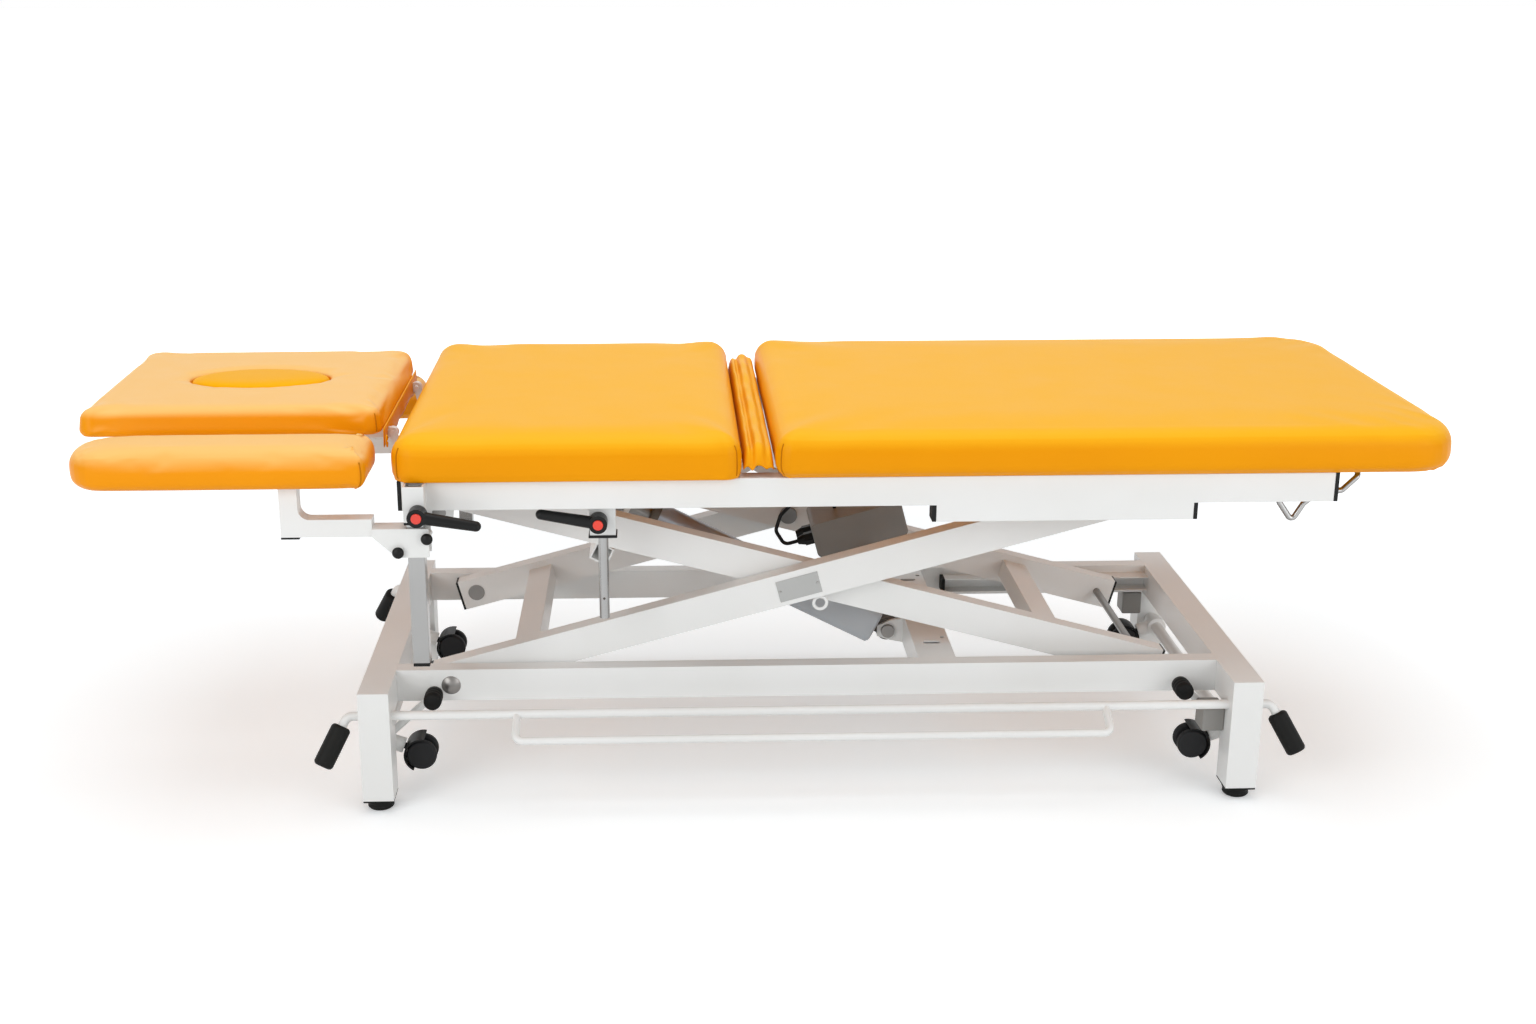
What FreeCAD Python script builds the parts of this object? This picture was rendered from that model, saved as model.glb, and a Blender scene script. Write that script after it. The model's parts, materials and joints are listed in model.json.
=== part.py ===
"""Height-adjustable treatment table: scissor lift, three cushions, two armrests.

Millimetres. X runs from the head end (-) to the foot end (+), Y from the front (-) to the
rear (+), Z up. The origin is on the floor under the middle of the table top, and the table
is modelled at its lowest height, with every section flat and the castors folded up.
"""
import FreeCAD
import Part
import math
import os

V = FreeCAD.Vector

# Sub-parts by file name, and those whose touching members are one weldment
NODES = {}
WELDED = ("base_end_frames", "base_rails", "base_cross_member", "inner_arm_tubes", "side_rails",
          "frame_brackets", "middle_frame", "head_frame")

# Fits
RUN_CLEARANCE = 0.05
GAP = 0.5
SEAT = 0.3

# Base frame
BASE_CX = 70.0
BASE_LENGTH = 1350.0
BASE_X0 = BASE_CX - BASE_LENGTH / 2
BASE_X1 = BASE_CX + BASE_LENGTH / 2
BASE_FRONT = -334.0
BASE_REAR = 286.0
BASE_TOP = 192.0
BASE_SECTION_H = 50.0
END_BEAM_W = 46.0
LEG_DEPTH = 50.0
TUBE_WALL = 2.5
BASE_RAIL_T = 28.0
BASE_RAIL_OUT = 241.0
FOOT_D = 40.0
FOOT_H = 16.0
FOOT_LIP_D = 46.0
PLUG_H = 3.0
PLUG_DEPTH = 14.0

# Scissor lift
PIVOT_X = -477.0
LOWER_PIVOT_Z = 167.0
ARM_RISE = 290.0
UPPER_PIVOT_Z = LOWER_PIVOT_Z + ARM_RISE
ARM_LENGTH = 1116.0
ARM_H = 51.0
ARM_T = 30.0
ARM_WALL = 3.0
ARM_SIDE_GAP = 2.0
ARM_END = 26.0
PIVOT_PIN_D = 20.0
CENTRE_PIN_D = 18.0
ARM_CAP_T = 4.0
CROSS_TUBE_W = 40.0
CROSS_TUBE_H = 30.0
A_CROSS_AT = 120.0
B_CROSS_BEFORE = 156.0
B_DRIVE_AT = 262.0
DRIVE_TUBE = 30.0

# Roller channels
CHANNEL_H = 25.0
CHANNEL_D = 30.0
CHANNEL_WALL = 2.0
CHANNEL_CAP_T = 6.0
ROLLER_D = 20.0
ROLLER_W = 20.0
AXLE_D = 12.0
UPPER_CHANNEL_L = 377.0
LOWER_CHANNEL_L = 404.0
CHANNEL_STOP = 21.34

# Upper frame
RAIL_OUT = 320.0
RAIL_T = 30.0
RAIL_H = 44.0
RAIL_Z0 = UPPER_PIVOT_Z + CHANNEL_H / 2
RAIL_Z1 = RAIL_Z0 + RAIL_H
RAIL_X0 = -532.0
RAIL_X1 = 833.0
RAIL_CAP_T = 6.0
FRAME_TUBE = 25.0
FOOT_CROSS_X = 810.0
HINGE_CROSS_X = 32.0
HEAD_CROSS_X = -524.5
HEAD_CROSS_W = 14.0
HANGER_T = 6.0

# Cushions
CUSHION_HALF_W = 345.0
CUSHION_LIFT = 0.3
LONG_X0 = 3.0
LONG_X1 = 1017.0
LONG_H = 70.0
MIDDLE_X0 = -548.0
MIDDLE_X1 = -30.0
MIDDLE_H = 68.0
HEAD_X0 = -1017.0
HEAD_X1 = -564.0
HEAD_HALF_W = 212.0
HEAD_H = 42.0
HEAD_BOTTOM = RAIL_Z1 + 38.5
CUSHION_EDGE_R = 18.0
CUSHION_CORNER_R = 30.0
FOOT_CORNER_R = 75.0
HEAD_EDGE_R = 12.0
FACE_X = -782.0
FACE_HALF_L = 108.0
FACE_HALF_W = 62.0
FACE_PLUG_H = 46.0
FACE_GAP = 0.8

# Section hinges
SECTION_AXIS_X = -13.5
SECTION_AXIS_Z = RAIL_Z1 - 6.5
HEAD_AXIS_X = -558.0
HEAD_AXIS_Z = RAIL_Z1 + 28.5
HINGE_PIN_D = 8.0
HINGE_EYE_R = 8.5
KNUCKLE_R = 7.0
HINGE_PLATE_T = 6.0
SECTION_TUBE_Y = 202.0
HEAD_TUBE_Y = 130.0
HEAD_TUBE_H = 19.0

# Gusset that closes the gap between the middle and long cushions
GUSSET_X = -4.3
GUSSET_W = 11.0
GUSSET_TOP = RAIL_Z1 + 31.5

# Locking rod of the middle section
LOCK_X = -240.0
LOCK_Y = -275.0
LOCK_ROD_D = 15.0
LOCK_ROD_Z0 = RAIL_Z0 - 182.5
LOCK_ROD_TOP = RAIL_Z1 - 10.5
LOCK_SLEEVE_W = 38.0
LOCK_SLEEVE_T = 28.0
LOCK_SLEEVE_Z0 = RAIL_Z0 - 49.5
LOCK_BUSH_T = 4.0
LOCK_PIN_D = 8.0
LOCK_SLOT_BACK = 26.0
LOCK_SLOT_PLAY = 3.4
LOCK_PIN_Z = RAIL_Z1 - 16.5

# Armrests
ARMREST_X0 = -992.0
ARMREST_X1 = -565.0
ARMREST_IN = 254.0
ARMREST_OUT = 380.0
ARMREST_BOTTOM = RAIL_Z1 + 1.5
ARMREST_H = 60.0
REAR_ARMREST_DROP = 60.0
POST = 24.0
POST_X = -505.5
POST_Z0 = RAIL_Z0 - 224.5
POST_WALL = 2.0
SLEEVE = 30.0
SLEEVE_Z0 = RAIL_Z0 - 12.5
SLEEVE_BUSH_T = 4.0
HOLDER_TUBE = 26.0
HOLDER_Z = RAIL_Z0 - 16.5
HOLDER_LEG_X = -682.5
CARRIAGE_X0 = -566.0
CARRIAGE_X1 = -486.0
CARRIAGE_Z0 = RAIL_Z0 - 60.5
CARRIAGE_Z1 = RAIL_Z0 - 17.5
CARRIAGE_PLATE = 4.0
DOME_D = 15.0

# Clamp levers
LEVER_LENGTH = 84.0
LEVER_ARM_D = 17.0
LEVER_HUB_D = 27.0
LEVER_HUB_H = 24.0
LEVER_SCREW_D = 10.0
BUTTON_D = 15.0
BUTTON_H = 6.0
BUTTON_TRAVEL = 2.5
LEVER2_Z = RAIL_Z0 - 26.5
LEVER2_X = -246.0
LEVER2_REACH = 7.0
LEVER1_X = -499.5
LEVER1_Z = RAIL_Z0 + 4.5
LEVER1_TILT = -10.0
LEVER2_TILT = -10.0

# Foot control bars
BAR_Y = 311.0
BAR_Z = 148.0
BAR_D = 14.0
TREAD_D = 12.0
TREAD_X0 = -373.0
TREAD_X1 = 513.0
TREAD_REACH = 43.0
TREAD_DROP = 25.0
BAR_STICKOUT = 20.0
BAR_BEND = 14.0
GRIP_D = 30.0
GRIP_L = 66.0
GRIP_OUT = 31.0
GRIP_FORWARD = 30.0
GRIP_DROP = 58.0
SWITCH_W = 34.0
SWITCH_D = 40.0
SWITCH_H = 62.0

# Castor mechanism
CASTOR_SHAFT_D = 20.0
CASTOR_SHAFT_Z = 84.0
CASTOR_ARM = 62.0
CASTOR_FOLD = 70.0
CRANK_T = 10.0
CRANK_W = 26.0
PEDAL_ARM = 108.0
PEDAL_ANGLE = 42.0
PEG_D = 24.0
PEG_L = 32.0
CASTOR_IN = 34.0
SOCKET_D = 24.0
SOCKET_H = 20.0
STEM_D = 10.0
WHEEL_D = 46.0
WHEEL_W = 13.0
WHEEL_GAP = 12.0
WHEEL_AXLE_D = 6.0
HOOD_R = 26.0
HOOD_WALL = 2.5

# Actuator
ACT_X = 216.0
ACT_Z = 163.0
ACT_MEMBER_X0 = ACT_X + 25.0
ACT_MEMBER_W = 58.0
ACT_EYE_R = 19.0
ACT_EYE_T = 24.0
ACT_PIN_D = 14.0
ACT_LUG_T = 6.0
CASE_START = 24.0
CASE_L = 152.0
CASE_W = 78.0
CASE_H = 62.0
COLLAR_L = 14.0
COLLAR_D = 74.0
TUBE_D = 50.0
TUBE_BORE = 32.0
TUBE_END = 425.0
ROD_D = 28.0
ROD_INSIDE = 290.0
ROD_EYE_R = 16.0
ROD_EYE_T = 30.0
ROD_PIN_D = 14.0
DRIVE_SLOT_HALF = 19.0
DRIVE_SLOT_PLAY = 7.0

# Control box carried between the front and rear outer arms
BOX_PAST = 32.0
BOX_L = 150.0
BOX_W = 104.0
BOX_H = 58.0
BOX_R = 9.0
BOX_LIFT = 8.0
BOX_STRAP = 12.0
CONNECTOR_D = 22.0
CONNECTOR_L = 26.0
CABLE_D = 6.0

# Roll holder wire
ROLL_WIRE_D = 9.0
ROLL_Y = 224.0
ROLL_LEVEL = 12.0
ROLL_STEPS = ((-17.5, 0, -41.5), (3.5, 0, -71.5), (19.5, 0, -43.5), (40.5, 0, -26.5), (76.5, 0, -23.5),
              (98.5, 0, -1.5), (104.5, 26, 16.5))

# Derived places
B_CROSS_AT = ARM_LENGTH - B_CROSS_BEFORE
BOX_AT = ARM_LENGTH / 2 + BOX_PAST
REST_ANGLE = math.degrees(math.asin(ARM_RISE / ARM_LENGTH))
ARM_SPAN = ARM_LENGTH * math.cos(math.radians(REST_ANGLE))
ROLLER_X = PIVOT_X + ARM_SPAN
UPPER_CHANNEL_X1 = ROLLER_X + CHANNEL_STOP
UPPER_CHANNEL_X0 = UPPER_CHANNEL_X1 - UPPER_CHANNEL_L
LOWER_CHANNEL_X0 = BASE_X1 - LOWER_CHANNEL_L
CENTRE_X = PIVOT_X + ARM_SPAN / 2
CENTRE_Z = LOWER_PIVOT_Z + ARM_RISE / 2
LEG_Z0 = FOOT_H + PLUG_H
BEAM_Z0 = BASE_TOP - BASE_SECTION_H
BASE_MID_Y = (BASE_FRONT + BASE_REAR) / 2
RAIL_IN_BASE = BASE_RAIL_OUT - BASE_RAIL_T
ARM_A_OUT = RAIL_IN_BASE - ARM_SIDE_GAP
ARM_A_IN = ARM_A_OUT - ARM_T
ARM_B_OUT = ARM_A_IN - ARM_SIDE_GAP
ARM_B_IN = ARM_B_OUT - ARM_T
RAIL_IN = RAIL_OUT - RAIL_T
CUSHION_Z0 = RAIL_Z1 + CUSHION_LIFT
SECTION_TUBE_Z1 = CUSHION_Z0 - SEAT
SECTION_TUBE_Z0 = SECTION_TUBE_Z1 - FRAME_TUBE
POST_Y = RAIL_OUT + SLEEVE / 2
SLEEVE_Z1 = RAIL_Z1
ACT_MEMBER_Z1 = BASE_TOP
ACT_MEMBER_Z0 = BEAM_Z0


def box(x0, x1, y0, y1, z0, z1):
    """Box between two corners given per axis."""
    low = V(min(x0, x1), min(y0, y1), min(z0, z1))
    return Part.makeBox(abs(x1 - x0), abs(y1 - y0), abs(z1 - z0), low)


def rod(start, end, diameter):
    """Round bar between two points."""
    way = end - start
    return Part.makeCylinder(diameter / 2, way.Length, start, way)


def y_rod(x, z, y0, y1, diameter):
    """Round bar along Y."""
    return rod(V(x, min(y0, y1), z), V(x, max(y0, y1), z), diameter)


def plate(points, y0, y1):
    """Flat plate with an XZ outline, from y0 to y1."""
    low = min(y0, y1)
    corners = [V(x, low, z) for x, z in points]
    face = Part.Face(Part.makePolygon(corners + [corners[0]]))
    return face.extrude(V(0, abs(y1 - y0), 0))


def soft_block(x0, x1, y0, y1, z0, z1, corner, foot_corner, edge):
    """Closed pad with rounded upright corners, its foot-end ones apart, and rounded rims."""
    body = box(x0, x1, y0, y1, z0, z1)
    upright = [e for e in body.Edges if abs(e.tangentAt(e.FirstParameter).z) > 0.9]
    body = body.makeFillet(foot_corner, [e for e in upright if e.CenterOfMass.x > x1 - 1])
    upright = [e for e in body.Edges if abs(e.CenterOfMass.x - x0) < 0.01 and abs(e.tangentAt(e.FirstParameter).z) > 0.9]
    body = body.makeFillet(corner, upright)
    rims = [e for e in body.Edges if abs(e.CenterOfMass.z - z0) < 0.01 or abs(e.CenterOfMass.z - z1) < 0.01]
    return body.makeFillet(edge, rims)


def tube_x(x0, x1, y_mid, z_mid, width, height, wall):
    """Rectangular tube along X, open at both ends."""
    outer = box(x0, x1, y_mid - width / 2, y_mid + width / 2, z_mid - height / 2, z_mid + height / 2)
    w = width / 2 - wall
    h = height / 2 - wall
    return outer.cut(box(x0 - 1, x1 + 1, y_mid - w, y_mid + w, z_mid - h, z_mid + h))


def tube_y(y0, y1, x_mid, z_mid, width, height, wall):
    """Rectangular tube along Y, open at both ends."""
    outer = box(x_mid - width / 2, x_mid + width / 2, y0, y1, z_mid - height / 2, z_mid + height / 2)
    w = width / 2 - wall
    h = height / 2 - wall
    return outer.cut(box(x_mid - w, x_mid + w, y0 - 1, y1 + 1, z_mid - h, z_mid + h))


def tube_z(z0, z1, x_mid, y_mid, width, depth, wall):
    """Rectangular tube along Z, open at both ends."""
    outer = box(x_mid - width / 2, x_mid + width / 2, y_mid - depth / 2, y_mid + depth / 2, z0, z1)
    w = width / 2 - wall
    d = depth / 2 - wall
    return outer.cut(box(x_mid - w, x_mid + w, y_mid - d, y_mid + d, z0 - 1, z1 + 1))


def bent_rod(points, diameter, bend):
    """Round bar along straight runs joined by tangent arcs of one bend radius."""
    edges = []
    here = points[0]
    for i in range(1, len(points) - 1):
        corner = points[i]
        back = (points[i - 1] - corner).normalize()
        ahead = (points[i + 1] - corner).normalize()
        half = back.getAngle(ahead) / 2
        setback = bend / math.tan(half)
        first = corner + back * setback
        last = corner + ahead * setback
        bisector = (back + ahead).normalize()
        middle = corner + bisector * (bend / math.sin(half) - bend)
        if (first - here).Length > 0.01:
            edges.append(Part.LineSegment(here, first).toShape())
        edges.append(Part.Arc(first, middle, last).toShape())
        here = last
    edges.append(Part.LineSegment(here, points[-1]).toShape())
    path = Part.Wire(edges)
    start = points[0]
    circle = Part.Wire(Part.makeCircle(diameter / 2, start, points[1] - start))
    return path.makePipeShell([circle], True, False)


def mirror_y(shape, about=0.0):
    """The same shape on the other side of a plane across Y."""
    return shape.mirror(V(0, about, 0), V(0, 1, 0))


def mirror_x(shape, about):
    """The same shape on the other side of a plane across X."""
    return shape.mirror(V(about, 0, 0), V(1, 0, 0))


def both_sides(shape):
    """A solid and its mirror image across the table's middle plane."""
    return [shape, mirror_y(shape)]


def add(name, solids):
    """Collect the solids of one sub-part."""
    NODES.setdefault(name, []).extend(solids)


def write_nodes():
    """Write every sub-part, with the members of a welded one joined first."""
    for name, solids in NODES.items():
        if name in WELDED and len(solids) > 1:
            joined = solids[0].fuse(solids[1:]).removeSplitter()
            solids = joined.Solids
        shape = solids[0] if len(solids) == 1 else Part.makeCompound(solids)
        shape.exportStep("parts/%s.step" % name)


def tilt(shape, x, z, degrees):
    """Turn a shape about a Y axis, the +X side going up for positive angles."""
    turned = shape.copy()
    turned.rotate(V(x, 0, z), V(0, 1, 0), -degrees)
    return turned


def at_corners(shape):
    """Copies of a front-left piece at the other three corners of the base."""
    right = mirror_x(shape, BASE_CX)
    return [shape, right, mirror_y(shape, BASE_MID_Y), mirror_y(right, BASE_MID_Y)]


# Base frame
def make_base():
    """End beams, legs, rails, channels, feet and the actuator's cross member."""
    mid_z = BASE_TOP - BASE_SECTION_H / 2
    beam_x = BASE_X0 + END_BEAM_W / 2
    beam = tube_y(BASE_FRONT, BASE_REAR, beam_x, mid_z, END_BEAM_W, BASE_SECTION_H, TUBE_WALL)
    leg_y = BASE_FRONT + LEG_DEPTH / 2
    socket = box(BASE_X0 - 1, BASE_X0 + END_BEAM_W + 1, BASE_FRONT - 1, BASE_FRONT + LEG_DEPTH, 0, BASE_TOP - TUBE_WALL)
    beam = beam.cut(socket).cut(mirror_y(socket, BASE_MID_Y))
    add("base_end_frames", [beam, mirror_x(beam, BASE_CX)])

    leg = tube_z(LEG_Z0, BASE_TOP - TUBE_WALL, beam_x, leg_y, END_BEAM_W, LEG_DEPTH, TUBE_WALL)
    bar_hole = rod(V(BASE_X0 - 1, -BAR_Y, BAR_Z), V(BASE_X0 + END_BEAM_W + 1, -BAR_Y, BAR_Z),
                   BAR_D + 2 * RUN_CLEARANCE)
    shaft_hole = y_rod(beam_x, CASTOR_SHAFT_Z, BASE_FRONT + LEG_DEPTH / 2, BASE_FRONT + LEG_DEPTH + 1,
                       CASTOR_SHAFT_D + 2 * RUN_CLEARANCE)
    add("base_end_frames", at_corners(leg.cut(bar_hole).cut(shaft_hole)))

    plug = box(beam_x - END_BEAM_W / 2, beam_x + END_BEAM_W / 2, BASE_FRONT, BASE_FRONT + LEG_DEPTH,
               FOOT_H, LEG_Z0)
    plug = plug.makeFillet(1.0, plug.Edges)
    tongue_w = END_BEAM_W / 2 - TUBE_WALL
    tongue_d = LEG_DEPTH / 2 - TUBE_WALL
    tongue = box(beam_x - tongue_w, beam_x + tongue_w, leg_y - tongue_d, leg_y + tongue_d,
                 LEG_Z0 - 1, LEG_Z0 + PLUG_DEPTH)
    profile = [V(0, 0, 0), V(FOOT_D / 2 - 3, 0, 0), V(FOOT_D / 2, 0, 3), V(FOOT_D / 2 - 1, 0, 9),
               V(FOOT_LIP_D / 2 - 2, 0, 12), V(FOOT_LIP_D / 2 - 3, 0, FOOT_H), V(0, 0, FOOT_H), V(0, 0, 0)]
    foot = Part.Face(Part.makePolygon(profile)).revolve(V(0, 0, 0), V(0, 0, 1), 360)
    foot.translate(V(beam_x, leg_y, 0))
    add("base_caps", at_corners(plug.fuse(tongue).removeSplitter()))
    add("base_caps", at_corners(foot))

    rail_y = -(BASE_RAIL_OUT - BASE_RAIL_T / 2)
    rail = tube_x(BASE_X0 + END_BEAM_W, BASE_X1 - END_BEAM_W, rail_y, mid_z, BASE_RAIL_T, BASE_SECTION_H, TUBE_WALL)
    pin_hole = y_rod(PIVOT_X, LOWER_PIVOT_Z, -BASE_RAIL_OUT - 1, -RAIL_IN_BASE + 1, PIVOT_PIN_D)
    add("base_rails", both_sides(rail.cut(pin_hole)))

    depth_in = ARM_A_OUT - ARM_T + 4
    channel = make_channel(LOWER_CHANNEL_X0, BASE_X1 - END_BEAM_W, -RAIL_IN_BASE, -depth_in, LOWER_PIVOT_Z)
    add("base_rails", both_sides(channel))
    caps = channel_caps(LOWER_CHANNEL_X0, None, -RAIL_IN_BASE, -depth_in, LOWER_PIVOT_Z)

    member = tube_y(-RAIL_IN_BASE, RAIL_IN_BASE, ACT_MEMBER_X0 + ACT_MEMBER_W / 2, mid_z,
                    ACT_MEMBER_W, BASE_SECTION_H, TUBE_WALL)
    slots = []
    for y in (-150.0, 150.0):
        run = box(ACT_MEMBER_X0 + 20, ACT_MEMBER_X0 + 38, y - 5, y + 5, BASE_TOP - 10, BASE_TOP + 1)
        ends = [Part.makeCylinder(5, 11, V(ACT_MEMBER_X0 + end, y, BASE_TOP - 10)) for end in (20, 38)]
        slots.append(run.fuse(ends))
        slots.append(Part.makeCylinder(4, 11, V(ACT_MEMBER_X0 + ACT_MEMBER_W - 9, y + 22, BASE_TOP - 10)))
    member = member.cut(slots)
    add("base_cross_member", [member])

    lug_y = ACT_EYE_T / 2 + GAP
    outline = [(ACT_MEMBER_X0, ACT_Z - 21), (ACT_MEMBER_X0, ACT_Z + 21), (ACT_X + 4, ACT_Z + 17),
               (ACT_X - 17, ACT_Z + 8), (ACT_X - 17, ACT_Z - 10), (ACT_X + 4, ACT_Z - 17)]
    lug = plate(outline, -lug_y - ACT_LUG_T, -lug_y)
    lug = lug.cut(y_rod(ACT_X, ACT_Z, -100, 100, ACT_PIN_D))
    pin = y_rod(ACT_X, ACT_Z, -lug_y - ACT_LUG_T - 3, lug_y + ACT_LUG_T + 3, ACT_PIN_D)
    head = y_rod(ACT_X, ACT_Z, -lug_y - ACT_LUG_T - 7, -lug_y - ACT_LUG_T, ACT_PIN_D + 8)
    add("base_cross_member", both_sides(lug))
    add("base_pins", [pin.fuse(head).fuse(mirror_y(head)).removeSplitter()])

    bolt = y_rod(PIVOT_X, LOWER_PIVOT_Z, -BASE_RAIL_OUT, -ARM_A_IN, PIVOT_PIN_D)
    dome = Part.makeSphere(22, V(PIVOT_X, -BASE_RAIL_OUT + 16, LOWER_PIVOT_Z))
    dome = dome.common(box(PIVOT_X - 30, PIVOT_X + 30, -BASE_RAIL_OUT - 20, -BASE_RAIL_OUT, 100, 250))
    ring = y_rod(PIVOT_X, LOWER_PIVOT_Z, -ARM_A_IN, -ARM_A_IN + 1.6, PIVOT_PIN_D + 8)
    add("base_pins", both_sides(bolt.fuse([dome, ring]).removeSplitter()))
    return caps


def make_channel(x0, x1, y_out, y_in, z_mid):
    """C-section roller channel along X with its open side towards y_in."""
    shell = box(x0, x1, y_out, y_in, z_mid - CHANNEL_H / 2, z_mid + CHANNEL_H / 2)
    inner_h = CHANNEL_H / 2 - CHANNEL_WALL
    step = CHANNEL_WALL if y_in > y_out else -CHANNEL_WALL
    return shell.cut(box(x0 - 1, x1 + 1, y_out + step, y_in + step, z_mid - inner_h, z_mid + inner_h))


def channel_caps(x0, x1, y_out, y_in, z_mid):
    """Black end caps of a roller channel, at each end that is given."""
    caps = []
    if x0 is not None:
        caps.append(box(x0 - CHANNEL_CAP_T, x0, y_out, y_in, z_mid - CHANNEL_H / 2, z_mid + CHANNEL_H / 2))
    if x1 is not None:
        caps.append(box(x1, x1 + CHANNEL_CAP_T, y_out, y_in, z_mid - CHANNEL_H / 2, z_mid + CHANNEL_H / 2))
    return caps


def save_base_caps(caps):
    """End caps of the lower channels, on both sides."""
    solids = []
    for cap in caps:
        solids.extend(both_sides(cap))
    add("base_caps", solids)


# Scissor arms are drawn level, from the pivot at x = 0, and then tilted into place
def arm_tube(y_out, y_in):
    """One arm as a rectangular tube with holes for its pivot, centre and roller pins."""
    mid = -(y_out + y_in) / 2
    tube = tube_x(-ARM_END, ARM_LENGTH + ARM_END, mid, 0, ARM_T, ARM_H, ARM_WALL)
    for along, diameter in ((0, PIVOT_PIN_D), (ARM_LENGTH / 2, CENTRE_PIN_D), (ARM_LENGTH, AXLE_D)):
        tube = tube.cut(y_rod(along, 0, -y_out - 1, -y_in + 1, diameter + 2 * RUN_CLEARANCE))
    return tube


def arm_cap(y_out, y_in, at_end):
    """Black plug that closes an arm's end, with a tongue inside the tube."""
    x = ARM_LENGTH + ARM_END if at_end else -ARM_END
    step = ARM_CAP_T if at_end else -ARM_CAP_T
    flange = box(x, x + step, -y_out, -y_in, -ARM_H / 2, ARM_H / 2)
    inset = ARM_WALL
    tongue = box(x - step * 1.5, x, -y_out + inset, -y_in - inset, -ARM_H / 2 + inset, ARM_H / 2 - inset)
    return flange.fuse(tongue).removeSplitter()


def place_a(shape):
    """Put a level arm shape at the outer arms' place."""
    moved = shape.copy()
    moved.translate(V(PIVOT_X, 0, LOWER_PIVOT_Z))
    return tilt(moved, PIVOT_X, LOWER_PIVOT_Z, REST_ANGLE)


def place_b(shape):
    """Put a level arm shape at the inner arms' place."""
    moved = shape.copy()
    moved.translate(V(PIVOT_X, 0, UPPER_PIVOT_Z))
    return tilt(moved, PIVOT_X, UPPER_PIVOT_Z, -REST_ANGLE)


def make_arms_a():
    """Outer arms with their cross tube, caps, centre pins and lanyard eye."""
    arm = arm_tube(ARM_A_OUT, ARM_A_IN)
    cross = tube_y(-ARM_A_IN, ARM_A_IN, A_CROSS_AT, 0, CROSS_TUBE_W, CROSS_TUBE_H, ARM_WALL)
    eye_x = 575.0
    eye = Part.makeTorus(10, 2.5, V(eye_x, -ARM_A_OUT + 8, -ARM_H / 2 - 12.55), V(0, 1, 0))
    add("outer_arms", [place_a(s) for s in both_sides(arm)])
    add("outer_arm_tubes", [place_a(cross)])
    add("outer_arm_tubes", [place_a(eye)])
    caps = both_sides(arm_cap(ARM_A_OUT, ARM_A_IN, True)) + both_sides(arm_cap(ARM_A_OUT, ARM_A_IN, False))
    add("outer_arm_caps", [place_a(c) for c in caps])
    pin = y_rod(CENTRE_X, CENTRE_Z, -ARM_A_OUT, -ARM_B_IN, CENTRE_PIN_D)
    head = y_rod(CENTRE_X, CENTRE_Z, -ARM_B_IN, -ARM_B_IN + 5, CENTRE_PIN_D + 12)
    add("centre_pins", both_sides(pin.fuse(head).removeSplitter()))


def make_arms_b():
    """Inner arms with their cross tube, drive tube and the actuator's slotted lugs."""
    arm = arm_tube(ARM_B_OUT, ARM_B_IN)
    cross = tube_y(-ARM_B_IN, ARM_B_IN, B_CROSS_AT, 0, CROSS_TUBE_W, CROSS_TUBE_H, ARM_WALL)
    add("inner_arms", [place_b(s) for s in both_sides(arm)])
    add("inner_arm_tubes", [place_b(cross)])
    caps = both_sides(arm_cap(ARM_B_OUT, ARM_B_IN, True)) + both_sides(arm_cap(ARM_B_OUT, ARM_B_IN, False))
    add("inner_arm_caps", [place_b(c) for c in caps])


def drive_point():
    """Where the actuator's rod pin sits on the inner arms at rest."""
    along = math.radians(REST_ANGLE)
    return V(PIVOT_X + B_DRIVE_AT * math.cos(along), 0, UPPER_PIVOT_Z - B_DRIVE_AT * math.sin(along))


def actuator_angle():
    """Rise of the actuator's axis above the horizontal, towards the head end."""
    point = drive_point()
    return math.degrees(math.atan2(point.z - ACT_Z, ACT_X - point.x))


def actuator_length():
    """Distance from the base pin to the rod pin at rest."""
    return (drive_point() - V(ACT_X, 0, ACT_Z)).Length


def place_act(shape):
    """Put a shape drawn along +X from the base pin onto the actuator's axis."""
    moved = shape.copy()
    moved.rotate(V(0, 0, 0), V(0, 1, 0), -(180 - actuator_angle()))
    moved.translate(V(ACT_X, 0, ACT_Z))
    return moved


def make_drive():
    """Drive tube and slotted lugs, on the inner arms above the actuator's rod end."""
    point = drive_point()
    lug_in = ROD_EYE_T / 2 + GAP
    reach = DRIVE_SLOT_HALF + ROD_PIN_D / 2 + 9
    width = DRIVE_SLOT_PLAY + ROD_PIN_D / 2 + 9
    tube_at = reach + DRIVE_TUBE / 2
    along = actuator_length()
    lug = box(along - width, along + width, -lug_in - ACT_LUG_T, -lug_in, -reach, reach)
    slot_w = ROD_PIN_D / 2 + DRIVE_SLOT_PLAY
    slot_l = ROD_PIN_D / 2 + DRIVE_SLOT_HALF
    slot = box(along - slot_w, along + slot_w, -lug_in - ACT_LUG_T - 1, -lug_in + 1, -slot_l, slot_l)
    slot = slot.makeFillet(slot_w - 1.0, [e for e in slot.Edges if abs(e.tangentAt(e.FirstParameter).y) > 0.9])
    lug = place_act(lug.cut(slot))
    add("inner_arm_tubes", both_sides(lug))
    angle = math.radians(actuator_angle())
    tube_x_mid = point.x + tube_at * math.sin(angle) * -1
    tube_z_mid = point.z - tube_at * math.cos(angle)
    tube = tube_y(-ARM_B_IN, ARM_B_IN, tube_x_mid, tube_z_mid, DRIVE_TUBE, DRIVE_TUBE, ARM_WALL)
    tube = tilt(tube, tube_x_mid, tube_z_mid, -actuator_angle())
    add("inner_arm_tubes", [tube])


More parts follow.
